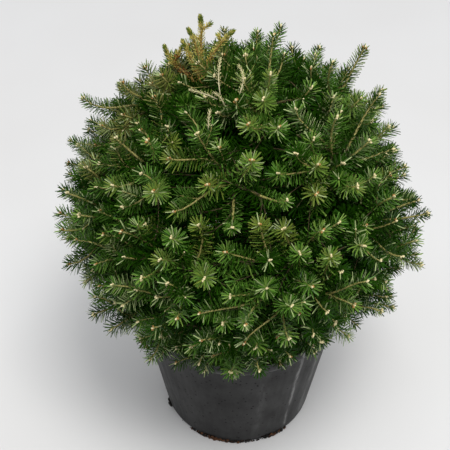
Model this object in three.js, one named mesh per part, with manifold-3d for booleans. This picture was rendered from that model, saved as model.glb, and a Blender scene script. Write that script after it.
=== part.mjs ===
// A globe-shaped Korean fir in its nursery pot, in millimetres with +Z up.
// The origin is the middle of the pot's underside, and -Y is the plant's front.
//
// The crown is a flattened globe round CROWN_CENTRE. Directions from that centre divide it
// into wedge-shaped cells, one for each mass of foliage. A bough runs from the trunk to the
// foot of each cell, where the mass's own stem takes over and forks into needled shoots.

import * as THREE from 'three';
import { mergeVertices } from 'three/addons/utils/BufferGeometryUtils.js';
import Module from 'manifold-3d';

const wasm = await Module();
wasm.setup();

// ---------------------------------------------------------------- driving dimensions

const CLEARANCE = 0.3;                 // gap between two pieces that meet
const SLIVER = 0.02;                   // edges shorter than this are closed up after a join
const UP = new THREE.Vector3(0, 0, 1);

// Pot: a tapered wall on a rounded foot, with a proud band round its mouth.
const POT_HEIGHT = 290;
const POT_FOOT_RADIUS = 150;
const POT_WALL_TOP_RADIUS = 194;       // where the wall meets the band
const POT_WALL = 2.6;
const POT_FLOOR = 3.6;
const POT_SIDES = 40;
const FOOT_ROUNDING = 6;
const BAND_HEIGHT = 23;
const BAND_PROUD = 3;
const BAND_FLARE = 2;                  // the band's top edge is this much wider than its lower edge
const DRAIN_SLOTS = 8;
const DRAIN_SLOT_WIDTH = 24;
const DRAIN_SLOT_HEIGHT = 9;

// Root ball: fills the pot up to a little below its mouth.
const SOIL_DEPTH_BELOW_MOUTH = 25;
const SOIL_DOME = 4;                   // the surface rises this much towards the trunk

// Trunk: from a flat cut on the soil to the foot of the top mass.
const TRUNK_SIDES = 10;
const TRUNK_FLARE_RADIUS = 27;
const TRUNK_RADIUS = 17;
const TRUNK_TIP_RADIUS = 6;
const FLARE_HEIGHT = 34;
const FLARE_LOBES = 5;

// Crown: how far the needle tips reach, and how much lower its upper part is than a globe.
const CROWN_CENTRE = new THREE.Vector3(7, 0, 535);
const CROWN_RADIUS = 340;
const TOP_FLATTENING = 0.12;
const FLATTENING_STARTS = 0.05;        // sine of the elevation
const FLATTENING_ENDS = 0.6;
// Where the crown falls short of that shape or bulges: the change of reach fades over halfWidth.
const UNEVENNESS = [
  { azimuth: 90, elevation: 15, halfWidth: 15, change: -0.17 },
  { azimuth: 133, elevation: -28, halfWidth: 13, change: -0.08 },
  { azimuth: 158, elevation: -46, halfWidth: 24, change: -0.06 },
  { azimuth: 31, elevation: 54, halfWidth: 9, change: -0.05 },
  { azimuth: -108, elevation: -6, halfWidth: 18, change: 0.03 },
];
const LOWEST_CORE = -0.755;            // sines of the lowest elevations
const LOWEST_AIM = -0.62;
const CROWN_CLEAR_OF_MOUTH = 26;       // the cores stay this much above the pot's mouth

// Masses of foliage: tiers of them round the crown, then the top and a golden sport.
const TIERS = [
  { name: 'low', count: 8, elevation: -33, turn: 8, trunkFrom: 302, trunkTo: 372 },
  { name: 'mid', count: 8, elevation: 5, turn: 30, trunkFrom: 398, trunkTo: 478 },
  { name: 'high', count: 6, elevation: 41, turn: 2, trunkFrom: 512, trunkTo: 590 },
];
const TIER_WANDER = 5;                 // degrees that a mass strays from its even place
const TOP_MASS = { azimuth: 125, elevation: 80 };
const GOLDEN_MASS = { azimuth: -57, elevation: 67, trunkHeight: 618 };

// Boughs: one tapering limb each, which ends where its mass begins.
const BOUGH_SIDES = 5;
const BOUGH_STEPS = 3;
const BOUGH_FOOT_RADIUS = 7.5;
const BOUGH_TIP_RADIUS = 5;
const BOUGH_END = 150;                 // distance of the boughs' tips from the crown's centre
const BOUGH_RUN_OUT = 45;              // how far a bough leaves the trunk level
const BOUGH_RUN_IN = 55;               // how far it is already aimed along its mass

// Foliage: a lumpy core, and shoots that stand out of it.
const FORK_AT = 205;                   // where a mass's stem forks, from the crown's centre
const STEM_TIP_RADIUS = 3.5;
const CORE_MIDDLE = 0.61;              // shares of the reach
const CORE_OUTSIDE = 0.73;
const CORE_INSIDE = 162;
const CORE_CELL_GAP = 3;
const CORE_LUMPS = 0.12;
const SHOOT_COUNT = 128;
const SHOOT_STRAY = 0.05;
const SKIRT_SHOOTS = 22;               // a closer row of them hangs over the pot's mouth
const SKIRT_ELEVATION = -46;
const TWIG_SIDES = 3;
const TWIG_TWIST = 0.62;               // radians from one ring to the next
const PHOTOTROPISM = 0.42;             // how strongly shoots turn upward
const GREEN_SPRAY = {
  length: 86, steps: 4, radius: 3.4, needle: 29, leanBack: 1.25, leanTip: 0.92,
};
const GOLDEN_SPRAY = {
  length: 66, steps: 5, radius: 4.6, needle: 10, leanBack: 0.75, leanTip: 0.4,
};
const NEEDLE_OVERHANG = 0.3;           // share of a needle that reaches past its twig's tip
const NEEDLE_ROOM = 1;                 // needles keep this much more room than they need
const LINE_CHECKS = 5;                 // places along a twig or needle that are tried for room

// The golden sport's shoots stand above the crown, spread like the arms of a candlestick:
// azimuth, elevation and reach of each tip, then azimuth and elevation of its heading.
const GOLDEN_SHOOTS = [
  { tip: [-45, 72], reach: 1.015, heading: [-60, 84] },
  { tip: [-22, 80], reach: 0.94, heading: [90, 46] },
  { tip: [-57, 70], reach: 0.975, heading: [-90, 62] },
  { tip: [-66, 69], reach: 0.94, heading: [-90, 66] },
  { tip: [-69, 63], reach: 0.94, heading: [-90, 78] },
];

// Leading shoots that stand out of the crown's outline.
const LEADERS = [
  { azimuth: 61, elevation: 45, reach: 1.02 },
  { azimuth: 99, elevation: 48, reach: 0.99 },
  { azimuth: 62, elevation: 81, reach: 0.98 },
  { azimuth: 113, elevation: 12, reach: 1.02 },
  { azimuth: 115, elevation: -6, reach: 1.02 },
  { azimuth: 124, elevation: -19, reach: 1.0 },
  { azimuth: -78, elevation: 31, reach: 1.01 },
  { azimuth: -112, elevation: 19, reach: 1.01 },
  { azimuth: -113, elevation: 6, reach: 1.02 },
  { azimuth: -116, elevation: -5, reach: 1.02 },
  { azimuth: -124, elevation: -21, reach: 1.03 },
];

const POT_COLOUR = 0x38383a;
const SOIL_COLOUR = 0x2e1d12;
const BARK_COLOUR = 0x6a4d35;
const NEEDLE_COLOUR = 0x35551f;
const GOLDEN_COLOUR = 0x8a7d33;

// ---------------------------------------------------------------- solids and meshes

const radians = THREE.MathUtils.degToRad;

// A repeatable fraction between 0 and 1 for each seed.
function chance(seed) {
  const spread = Math.sin(seed * 127.1 + 311.7) * 43758.5453;
  return spread - Math.floor(spread);
}

function solidFrom(geometry) {
  geometry.deleteAttribute('normal');
  geometry.deleteAttribute('uv');
  const merged = mergeVertices(geometry, 1e-4);
  const corners = merged.index.array;
  const triangles = [];
  for (let i = 0; i < corners.length; i += 3) {
    const [a, b, c] = corners.slice(i, i + 3);
    if (a !== b && b !== c && c !== a) triangles.push(a, b, c);
  }
  return new wasm.Manifold(new wasm.Mesh({
    numProp: 3,
    vertProperties: new Float32Array(merged.getAttribute('position').array),
    triVerts: new Uint32Array(triangles),
  }));
}

function meshFrom(name, solid, colour, roughness) {
  const { vertProperties, triVerts } = solid.getMesh();
  const geometry = new THREE.BufferGeometry();
  geometry.setAttribute('position', new THREE.Float32BufferAttribute(vertProperties, 3));
  geometry.setIndex(Array.from(triVerts));
  geometry.computeVertexNormals();
  const material = new THREE.MeshStandardMaterial({ color: colour, roughness, metalness: 0 });
  const mesh = new THREE.Mesh(geometry, material);
  mesh.name = name;
  return mesh;
}

// The directions in which a centreline runs at each of its points.
function headingsAlong(points) {
  return points.map((point, i) => {
    const ahead = points[i + 1] ?? point;
    const behind = points[i - 1] ?? point;
    return ahead.clone().sub(behind).normalize();
  });
}

// A closed tube with a ring of corners round each point of its centreline. Each face between
// two rings is flat, or rises to the needle tip that needleTip(step, middle, outward) gives.
function tube({ points, radii, sides, headings = headingsAlong(points), twist = 0, needleTip }) {
  const positions = [];
  const triangles = [];
  const addPoint = (point) => positions.push(...point.toArray()) / 3 - 1;
  const spotOf = (index) => new THREE.Vector3().fromArray(positions, index * 3);

  let side = new THREE.Vector3(0.31, 0.52, 0.79).cross(headings[0]);
  const rings = points.map((point, step) => {
    side = side.clone().projectOnPlane(headings[step]).normalize();
    const across = headings[step].clone().cross(side);
    return Array.from({ length: sides }, (_, corner) => {
      const angle = (2 * Math.PI * corner) / sides + twist * step;
      const radius = typeof radii[step] === 'function' ? radii[step](angle) : radii[step];
      return addPoint(point.clone()
        .addScaledVector(side, radius * Math.cos(angle))
        .addScaledVector(across, radius * Math.sin(angle)));
    });
  });

  for (let step = 0; step < points.length - 1; step += 1) {
    const axisMiddle = points[step].clone().lerp(points[step + 1], 0.5);
    for (let corner = 0; corner < sides; corner += 1) {
      const next = (corner + 1) % sides;
      const [a, b] = [rings[step][corner], rings[step][next]];
      const [c, d] = [rings[step + 1][next], rings[step + 1][corner]];
      const middle = spotOf(a).add(spotOf(b)).add(spotOf(c)).add(spotOf(d)).divideScalar(4);
      const outward = middle.clone().sub(axisMiddle).normalize();
      const tip = needleTip?.(step, middle, outward);
      if (tip) {
        const apex = addPoint(tip);
        triangles.push(a, b, apex, b, c, apex, c, d, apex, d, a, apex);
      } else {
        triangles.push(a, b, c, a, c, d);
      }
    }
  }
  const last = rings[rings.length - 1];
  for (let corner = 1; corner < sides - 1; corner += 1) {
    triangles.push(rings[0][0], rings[0][corner + 1], rings[0][corner]);
    triangles.push(last[0], last[corner], last[corner + 1]);
  }

  const geometry = new THREE.BufferGeometry();
  geometry.setAttribute('position', new THREE.Float32BufferAttribute(positions, 3));
  geometry.setIndex(triangles);
  return solidFrom(geometry);
}

// ---------------------------------------------------------------- pot and root ball

function turned(profile) {
  const points = profile.map(([radius, height]) => new THREE.Vector2(radius, height));
  return solidFrom(new THREE.LatheGeometry(points, POT_SIDES).rotateX(Math.PI / 2));
}

// Outer radius of the pot's wall at a height.
function wallRadius(height) {
  const bandFoot = POT_HEIGHT - BAND_HEIGHT;
  return THREE.MathUtils.mapLinear(height, 0, bandFoot, POT_FOOT_RADIUS, POT_WALL_TOP_RADIUS);
}

const BAND_RADIUS = POT_WALL_TOP_RADIUS + BAND_PROUD;

function pot() {
  const bandFoot = POT_HEIGHT - BAND_HEIGHT;
  const shell = turned([
    [0, 0],
    [POT_FOOT_RADIUS - FOOT_ROUNDING, 0],
    [POT_FOOT_RADIUS - FOOT_ROUNDING * 0.3, FOOT_ROUNDING * 0.3],
    [wallRadius(FOOT_ROUNDING), FOOT_ROUNDING],
    [POT_WALL_TOP_RADIUS, bandFoot],
    [BAND_RADIUS, bandFoot + 1],
    [BAND_RADIUS + BAND_FLARE, POT_HEIGHT],
    [BAND_RADIUS + BAND_FLARE - POT_WALL, POT_HEIGHT],
    [BAND_RADIUS - POT_WALL, bandFoot + 3],
    [wallRadius(bandFoot) - POT_WALL, bandFoot - 2],
    [wallRadius(POT_FLOOR) - POT_WALL, POT_FLOOR],
    [0, POT_FLOOR],
  ]);
  const slotHeight = POT_FLOOR + DRAIN_SLOT_HEIGHT / 2 + 1;
  const slots = Array.from({ length: DRAIN_SLOTS }, (_, i) => {
    const slot = new THREE.BoxGeometry(20, DRAIN_SLOT_WIDTH, DRAIN_SLOT_HEIGHT);
    slot.translate(POT_FOOT_RADIUS, 0, slotHeight);
    return solidFrom(slot.rotateZ((2 * Math.PI * (i + 0.5)) / DRAIN_SLOTS));
  });
  return slots.reduce((shape, slot) => shape.subtract(slot), shell);
}

const SOIL_HEIGHT = POT_HEIGHT - SOIL_DEPTH_BELOW_MOUTH;

function rootBall() {
  const bandFoot = POT_HEIGHT - BAND_HEIGHT;
  const inset = POT_WALL + CLEARANCE * 1.2;
  const floor = POT_FLOOR + CLEARANCE;
  return turned([
    [0, floor],
    [wallRadius(floor) - inset, floor],
    [wallRadius(bandFoot - 8) - inset, bandFoot - 8],
    [TRUNK_FLARE_RADIUS * 3, SOIL_HEIGHT - SOIL_DOME * 0.3],
    [TRUNK_FLARE_RADIUS * 1.4, SOIL_HEIGHT],
    [0, SOIL_HEIGHT],
  ]);
}

// ---------------------------------------------------------------- crown layout

// Azimuth is measured from +Y towards +X, in degrees, and elevation from level.
function directionOf(azimuth, elevation) {
  const level = Math.cos(radians(elevation));
  return new THREE.Vector3(
    level * Math.sin(radians(azimuth)),
    level * Math.cos(radians(azimuth)),
    Math.sin(radians(elevation)),
  );
}

function reachAt(direction) {
  const height = THREE.MathUtils.smoothstep(direction.z, FLATTENING_STARTS, FLATTENING_ENDS);
  return UNEVENNESS.reduce((reach, { azimuth, elevation, halfWidth, change }) => {
    const gap = direction.angleTo(directionOf(azimuth, elevation)) / radians(halfWidth);
    return reach * (1 + change * Math.exp(-gap * gap));
  }, CROWN_RADIUS * (1 - TOP_FLATTENING * height));
}

const fromCentre = (direction, distance) =>
  CROWN_CENTRE.clone().addScaledVector(direction, distance);

function crownMasses() {
  const masses = [];
  TIERS.forEach((tier, level) => {
    for (let i = 0; i < tier.count; i += 1) {
      const seed = level * 40 + i;
      const stray = (chance(seed) - 0.5) * 2 * TIER_WANDER;
      const azimuth = tier.turn + (360 * i) / tier.count + stray;
      const elevation = tier.elevation + (chance(seed + 17) - 0.5) * 2 * TIER_WANDER;
      // Neighbouring boughs leave the trunk at well separated heights.
      const rung = ((i * 3) % tier.count) / (tier.count - 1);
      masses.push({
        name: `${tier.name}_${i + 1}`,
        direction: directionOf(azimuth, elevation),
        trunkHeight: THREE.MathUtils.lerp(tier.trunkFrom, tier.trunkTo, rung),
        spray: GREEN_SPRAY,
      });
    }
  });
  masses.push({
    name: 'top',
    direction: directionOf(TOP_MASS.azimuth, TOP_MASS.elevation),
    spray: GREEN_SPRAY,
  });
  masses.push({
    name: 'golden',
    direction: directionOf(GOLDEN_MASS.azimuth, GOLDEN_MASS.elevation),
    trunkHeight: GOLDEN_MASS.trunkHeight,
    spray: GOLDEN_SPRAY,
  });
  return masses;
}

const MASSES = crownMasses();
const topMass = MASSES.find((mass) => mass.name === 'top');

// How far a point lies inside the flat walls of its mass's cell.
function cellDepth(point, mass) {
  const offset = point.clone().sub(CROWN_CENTRE);
  return Math.min(...MASSES.filter((other) => other !== mass).map((other) =>
    offset.dot(mass.direction.clone().sub(other.direction).normalize())));
}

function hasRoom(point, mass, room) {
  const width = Math.hypot(point.x, point.y);
  const overPot = point.z > POT_HEIGHT + room;
  const besidePot = width > BAND_RADIUS + BAND_FLARE + room;
  return (overPot || besidePot) && cellDepth(point, mass) > CLEARANCE / 2 + room;
}

function lineHasRoom(from, to, mass, room) {
  const stops = Array.from({ length: LINE_CHECKS }, (_, i) => (i + 1) / LINE_CHECKS);
  return stops.every((share) => hasRoom(from.clone().lerp(to, share), mass, room));
}

// ---------------------------------------------------------------- trunk and boughs

const trunkLine = new THREE.CatmullRomCurve3([
  new THREE.Vector3(0, 0, SOIL_HEIGHT + CLEARANCE),
  new THREE.Vector3(0.5, 1, SOIL_HEIGHT + 40),
  new THREE.Vector3(4, 3, 385),
  new THREE.Vector3(7, 2, 460),
  CROWN_CENTRE,
  fromCentre(topMass.direction, BOUGH_END - CLEARANCE),
]);

function trunkRadius(height) {
  const rise = height - SOIL_HEIGHT;
  const tipRise = CROWN_CENTRE.z + BOUGH_END - SOIL_HEIGHT;
  const flare = (TRUNK_FLARE_RADIUS - TRUNK_RADIUS) * Math.exp(-rise / FLARE_HEIGHT);
  return THREE.MathUtils.mapLinear(rise, 0, tipRise, TRUNK_RADIUS, TRUNK_TIP_RADIUS) + flare;
}

function trunkPoint(height) {
  const samples = trunkLine.getPoints(200);
  return samples.reduce((best, point) =>
    (Math.abs(point.z - height) < Math.abs(best.z - height) ? point : best));
}

// The trunk, or the trunk grown by an allowance all round, which boughs are cut clear of.
function trunk(allowance = 0) {
  const steps = [0, 0.04, 0.1, 0.2, 0.35, 0.5, 0.65, 0.82, 1];
  const growth = allowance / Math.cos(Math.PI / TRUNK_SIDES);
  return tube({
    points: steps.map((share) => trunkLine.getPoint(share)),
    headings: steps.map((share) => (share === 0 ? UP : trunkLine.getTangent(share))),
    radii: steps.map((share) => {
      const point = trunkLine.getPoint(share);
      const lobe = 0.16 * Math.exp(-(point.z - SOIL_HEIGHT) / FLARE_HEIGHT);
      return (angle) =>
        trunkRadius(point.z) * (1 + lobe * Math.cos(FLARE_LOBES * angle)) + growth;
    }),
    sides: TRUNK_SIDES,
  });
}

function bough(mass, trunkSpace) {
  const start = trunkPoint(mass.trunkHeight);
  const end = fromCentre(mass.direction, BOUGH_END - CLEARANCE);
  const level = mass.direction.clone().setZ(0).normalize();
  const line = new THREE.CubicBezierCurve3(
    start,
    start.clone().addScaledVector(level, BOUGH_RUN_OUT),
    end.clone().addScaledVector(mass.direction, -BOUGH_RUN_IN),
    end,
  );
  const steps = Array.from({ length: BOUGH_STEPS + 1 }, (_, i) => i / BOUGH_STEPS);
  return tube({
    points: steps.map((share) => line.getPoint(share)),
    headings: steps.map((share) => line.getTangent(share)),
    radii: steps.map((share) =>
      THREE.MathUtils.lerp(BOUGH_FOOT_RADIUS, BOUGH_TIP_RADIUS, share)),
    sides: BOUGH_SIDES,
  }).subtract(trunkSpace);
}

// ---------------------------------------------------------------- foliage

function stem(mass) {
  return tube({
    points: [fromCentre(mass.direction, BOUGH_END), fromCentre(mass.direction, FORK_AT)],
    radii: [BOUGH_TIP_RADIUS, STEM_TIP_RADIUS],
    sides: BOUGH_SIDES,
  });
}

// The dense middle of a mass: a ball of facets, each corner moved out until it comes near
// the cell's walls, the crown's hollow middle, the pot or the shell that the shoots fill.
function core(mass, seed) {
  const reach = reachAt(mass.direction);
  const middle = fromCentre(mass.direction, reach * CORE_MIDDLE);
  const fits = (point) => {
    const distance = point.distanceTo(CROWN_CENTRE);
    const sine = (point.z - CROWN_CENTRE.z) / distance;
    return distance > CORE_INSIDE && distance < reach * CORE_OUTSIDE && sine > LOWEST_CORE
      && point.z > POT_HEIGHT + CROWN_CLEAR_OF_MOUTH && cellDepth(point, mass) > CORE_CELL_GAP;
  };
  const ball = new THREE.IcosahedronGeometry(1, 1);
  ball.deleteAttribute('normal');
  ball.deleteAttribute('uv');
  const shape = mergeVertices(ball, 1e-4);
  const corners = shape.getAttribute('position');
  for (let i = 0; i < corners.count; i += 1) {
    const outward = new THREE.Vector3().fromBufferAttribute(corners, i);
    let length = 8;
    while (length < 130 && fits(middle.clone().addScaledVector(outward, length + 2))) {
      length += 2;
    }
    length *= 1 - CORE_LUMPS * chance(seed * 53 + i);
    corners.setXYZ(i, ...middle.clone().addScaledVector(outward, length).toArray());
  }
  return solidFrom(shape);
}

// The centreline of a shoot: from the fork to an elbow, then straight through its spray.
// It is drawn in towards the mass's own direction, and bent upward less, until it fits.
// A golden shoot keeps the heading that it is given.
function shootLine(mass, { aim, reach, heading: given }) {
  const { length, steps, radius, needle } = mass.spray;
  const fork = fromCentre(mass.direction, FORK_AT);
  const tipInset = needle * NEEDLE_OVERHANG;
  for (let pull = 0; pull < 0.4; pull += 0.04) {
    const outward = aim.clone().lerp(mass.direction, pull).normalize();
    const tip = fromCentre(outward, reach - tipInset);
    for (const lift of [1, 0.6, 0.3, 0]) {
      const heading = given
        ?? outward.clone().addScaledVector(UP, PHOTOTROPISM * lift).normalize();
      const elbow = tip.clone().addScaledVector(heading, -length);
      const spray = Array.from({ length: steps + 1 }, (_, i) => elbow.clone().lerp(tip, i / steps));
      const line = [fork, ...spray];
      const room = radius * 1.2;
      if (spray.every((point, i) => lineHasRoom(line[i], point, mass, room))) return line;
    }
  }
  return null;
}

function shoot(mass, entry, seed) {
  const { steps, radius, needle, leanBack, leanTip } = mass.spray;
  const points = shootLine(mass, entry);
  if (!points) return null;
  const heading = points[2].clone().sub(points[1]).normalize();
  const needleTip = (step, middle, outward) => {
    if (step === 0) return null;
    const lean = THREE.MathUtils.lerp(leanBack, leanTip, (step - 1) / (steps - 1));
    const length = needle * (0.88 + 0.24 * chance(seed * 31 + step * 7 + middle.z));
    const tip = middle.clone()
      .addScaledVector(outward, length * Math.sin(lean))
      .addScaledVector(heading, length * Math.cos(lean));
    return lineHasRoom(middle, tip, mass, NEEDLE_ROOM) ? tip : null;
  };
  return tube({
    points,
    radii: [radius * 1.15, ...Array.from({ length: steps + 1 }, (_, i) =>
      radius * THREE.MathUtils.lerp(1.1, 0.5, i / steps))],
    sides: TWIG_SIDES,
    twist: TWIG_TWIST,
    needleTip,
  });
}

// Evenly spread aims over the crown, from its top down to its skirt, then the skirt's own
// row, then the leaders.
function shootAims() {
  const goldenAngle = 180 * (3 - Math.sqrt(5));
  const aims = Array.from({ length: SHOOT_COUNT }, (_, i) => {
    const sine = THREE.MathUtils.lerp(1, LOWEST_AIM, (i + 0.5) / SHOOT_COUNT);
    const aim = directionOf(i * goldenAngle, THREE.MathUtils.radToDeg(Math.asin(sine)));
    return { aim, reach: reachAt(aim) * (1 + (chance(i + 500) - 0.6) * 2 * SHOOT_STRAY) };
  });
  for (let i = 0; i < SKIRT_SHOOTS; i += 1) {
    const azimuth = ((i + chance(i + 700) * 0.4) * 360) / SKIRT_SHOOTS;
    const aim = directionOf(azimuth, SKIRT_ELEVATION + 4 * chance(i + 740));
    aims.push({ aim, reach: reachAt(aim) * (1 + (chance(i + 780) - 0.6) * SHOOT_STRAY) });
  }
  LEADERS.forEach(({ azimuth, elevation, reach }) => {
    aims.push({ aim: directionOf(azimuth, elevation), reach: reach * CROWN_RADIUS });
  });
  return aims;
}

function goldenAims() {
  return GOLDEN_SHOOTS.map(({ tip, reach, heading }) => (
    { aim: directionOf(...tip), reach: reach * CROWN_RADIUS, heading: directionOf(...heading) }));
}

function shootsByMass() {
  const sorted = new Map(MASSES.map((mass) => [mass, []]));
  shootAims().forEach((entry) => {
    const home = MASSES.reduce((best, mass) =>
      (mass.direction.dot(entry.aim) > best.direction.dot(entry.aim) ? mass : best));
    if (home.spray !== GOLDEN_SPRAY) sorted.get(home).push(entry);
  });
  const golden = MASSES.find((mass) => mass.spray === GOLDEN_SPRAY);
  sorted.set(golden, goldenAims());
  return sorted;
}

function foliage(mass, seed, shoots) {
  const sprays = shoots.map((entry, i) => shoot(mass, entry, seed * 100 + i));
  const whole = [stem(mass), ...sprays].filter(Boolean)
    .reduce((shape, piece) => shape.add(piece), core(mass, seed));
  // Keeps the one body that hangs together, without loose scrap or slivers.
  return whole.decompose().reduce((best, piece) =>
    (piece.volume() > best.volume() ? piece : best)).simplify(SLIVER);
}

// ---------------------------------------------------------------- the plant

const plant = new THREE.Group();
plant.name = 'korean_fir';
plant.add(meshFrom('pot', pot(), POT_COLOUR, 0.55));
plant.add(meshFrom('root_ball', rootBall(), SOIL_COLOUR, 0.95));
plant.add(meshFrom('trunk', trunk(), BARK_COLOUR, 0.9));

const trunkSpace = trunk(CLEARANCE);
const shoots = shootsByMass();
MASSES.forEach((mass, i) => {
  if (mass !== topMass) {
    plant.add(meshFrom(`bough_${mass.name}`, bough(mass, trunkSpace), BARK_COLOUR, 0.9));
  }
  const colour = mass.spray === GOLDEN_SPRAY ? GOLDEN_COLOUR : NEEDLE_COLOUR;
  plant.add(meshFrom(`foliage_${mass.name}`, foliage(mass, i, shoots.get(mass)), colour, 0.7));
});

export default plant;
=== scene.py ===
"""Looks of a potted Korean fir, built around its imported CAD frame. Metres, +Z up, front to -Y.

The crown follows the rule of the CAD source, written again here and carried on to finer twigs:
directions from the crown's centre divide it into one cell for each mass of foliage, and in each
cell a stem forks into shoots, which here carry side shoots, inner shoots, needles and buds.
Azimuths are measured from +Y towards +X and elevations from level. Both, and half widths of
what stands at them, are in degrees, and a reach is a share of the crown's radius.
"""

import math
from types import SimpleNamespace

import bpy
import numpy as np
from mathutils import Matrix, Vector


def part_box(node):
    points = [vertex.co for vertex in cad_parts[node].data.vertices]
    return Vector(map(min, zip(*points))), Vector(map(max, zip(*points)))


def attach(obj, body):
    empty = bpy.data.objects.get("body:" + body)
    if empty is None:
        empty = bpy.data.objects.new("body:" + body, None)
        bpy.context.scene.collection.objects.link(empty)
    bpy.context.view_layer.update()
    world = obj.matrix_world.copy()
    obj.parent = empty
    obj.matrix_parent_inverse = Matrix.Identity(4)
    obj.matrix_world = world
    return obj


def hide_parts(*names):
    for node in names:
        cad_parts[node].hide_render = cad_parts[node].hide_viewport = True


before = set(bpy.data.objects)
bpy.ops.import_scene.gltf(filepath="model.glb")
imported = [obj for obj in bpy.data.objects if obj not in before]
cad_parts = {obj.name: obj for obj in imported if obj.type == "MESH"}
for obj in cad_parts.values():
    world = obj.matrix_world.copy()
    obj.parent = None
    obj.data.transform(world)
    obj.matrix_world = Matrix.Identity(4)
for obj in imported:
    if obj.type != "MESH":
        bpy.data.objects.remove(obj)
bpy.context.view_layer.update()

MM = 0.001
UP = np.array([0.0, 0.0, 1.0])
GOLDEN_ANGLE = math.pi * (3 - math.sqrt(5))

# ---------------------------------------------------------------- driving dimensions

# Pot: height and mouth come from the frame, the rest of its profile is named here.
POT_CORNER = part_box("pot")[1]
POT_HEIGHT = POT_CORNER.z
MOUTH_RADIUS = POT_CORNER.x
FOOT_RADIUS = 150 * MM
WALL_TOP_RADIUS = 194 * MM
POT_WALL = 2.6 * MM
POT_FLOOR = 3.6 * MM
FOOT_ROUNDING = 6 * MM
BAND_HEIGHT = 23 * MM
BAND_FLARE = 2 * MM
BAND_FOOT = POT_HEIGHT - BAND_HEIGHT
DRAIN_SLOTS = 8
DRAIN_SLOT_WIDTH = 24 * MM
DRAIN_SLOT_HEIGHT = 9 * MM
DRAIN_SLOT_MIDDLE = POT_FLOOR + DRAIN_SLOT_HEIGHT / 2 + 1 * MM

SOIL_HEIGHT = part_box("root_ball")[1].z
CLEARANCE = 0.3 * MM

# Trunk and boughs.
TRUNK_FLARE_RADIUS = 27 * MM
TRUNK_RADIUS = 17 * MM
TRUNK_TIP_RADIUS = 6 * MM
FLARE_HEIGHT = 34 * MM
FLARE_LOBES = 5
LOBE_DEPTH = 0.16               # of the lobes of the root flare, as a share of its radius
BOUGH_FOOT_RADIUS = 7.5 * MM
BOUGH_TIP_RADIUS = 5 * MM
BOUGH_END = 150 * MM            # how far from the crown's centre boughs and trunk end
BOUGH_RUN_OUT = 45 * MM         # handles of a bough's curve, level from the trunk
BOUGH_RUN_IN = 55 * MM          # and straight into its mass

# Crown.
CROWN_CENTRE = np.array([7, 0, 535]) * MM
CROWN_RADIUS = 340 * MM
TOP_FLATTENING = 0.12           # share by which the crown's top is lower than a globe's, from
FLATTENING_STARTS = 0.05        # nothing to fully between these sines of the elevation
FLATTENING_ENDS = 0.6
# Where the crown falls short of that shape or bulges: azimuth, elevation, half width, change.
UNEVENNESS = [
    (90, 15, 15, -0.17),
    (133, -28, 13, -0.08),
    (158, -46, 24, -0.06),
    (31, 54, 9, -0.05),
    (-108, -6, 18, 0.03),
]
LOWEST_AIM = -0.62              # sine of the lowest main shoots' elevation
# Masses of foliage, in tiers: elevation, azimuth of the first, and the lowest and highest place
# where their boughs leave the trunk.
TIERS = [
    SimpleNamespace(name="low", count=8, elevation=-33, turn=8, trunk=(302 * MM, 372 * MM)),
    SimpleNamespace(name="mid", count=8, elevation=5, turn=30, trunk=(398 * MM, 478 * MM)),
    SimpleNamespace(name="high", count=6, elevation=41, turn=2, trunk=(512 * MM, 590 * MM)),
]
TIER_WANDER = 5                 # how far masses stray from their tier's even spacing, in degrees
TOP_MASS = (125, 80)            # azimuth and elevation of the two masses outside the tiers
GOLDEN_MASS = (-57, 67)
GOLDEN_TRUNK_HEIGHT = 618 * MM

# Shoots, as in the CAD source.
FORK_AT = 205 * MM              # how far from the crown's centre a mass's stem forks
STEM_TIP_RADIUS = 3.5 * MM
SHOOT_COUNT = 128
SHOOT_STRAY = 0.05              # how far main shoots' reach strays, as a share
SKIRT_SHOOTS = 22               # shoots in a row of their own round the crown's foot
SKIRT_ELEVATION = -46
PHOTOTROPISM = 0.42             # how far shoots bend up towards the light
PULLS = np.arange(0, 0.4, 0.04)     # how far a shoot's aim is drawn in to its mass, least first,
LIFTS = (1, 0.6, 0.3, 0)            # and how much of its upward bend is kept, until it fits
NEEDLE_OVERHANG = 0.3           # share of a needle's length that shoots stay short of their reach
LINE_CHECKS = 5                 # places along each stretch of a shoot that have to have room
SHOOT_KNOTS = 25                # points along a shoot
SHOOT_HANDLES = (0.32, 0.42)    # handles of its curve at foot and tip, as shares of its length
LOWEST_FORK = 0.12              # share of a shoot's length before which nothing forks off it
GREEN_SPRAY = SimpleNamespace(length=86 * MM, steps=4, radius=3.4 * MM, needle=29 * MM)
GOLDEN_SPRAY = SimpleNamespace(length=66 * MM, steps=5, radius=4.6 * MM, needle=10 * MM)
# Golden shoots: azimuth and elevation of the tip, its reach, azimuth and elevation of its heading.
GOLDEN_SHOOTS = [
    ((-45, 72), 1.015, (-60, 84)),
    ((-22, 80), 0.94, (90, 46)),
    ((-57, 70), 0.975, (-90, 62)),
    ((-66, 69), 0.94, (-90, 66)),
    ((-69, 63), 0.94, (-90, 78)),
]
# Short golden side shoots, which only the looks have: the shoot that each stands on, how far
# behind its tip, azimuth and elevation of its heading, and its length.
GOLDEN_FORKS = [
    (0, 27 * MM, (90, 45), 21 * MM),
    (0, 44 * MM, (-90, 40), 15 * MM),
    (1, 30 * MM, (-60, 70), 14 * MM),
    (4, 36 * MM, (80, 66), 30 * MM),
    (4, 46 * MM, (-95, 45), 18 * MM),
]
# Bleached shoots in the upper crown, nearly bare: azimuth, elevation and reach of foot and tip,
# the reach as a share of how far the crown reaches there.
PALE_SHOOTS = [
    ((-171, 74, 0.98), (-157, 84, 1.0)),
    ((-150, 73, 0.98), (-99, 82, 1.0)),
    ((-159, 70, 0.97), (-148, 71, 1.0)),
    ((-150, 71, 0.98), (-127, 68, 1.0)),
    ((-155, 60, 0.98), (-153, 65, 1.0)),
]
PALE_BEND = 0.9                 # how far at most a bleached shoot's ends turn aside
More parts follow.
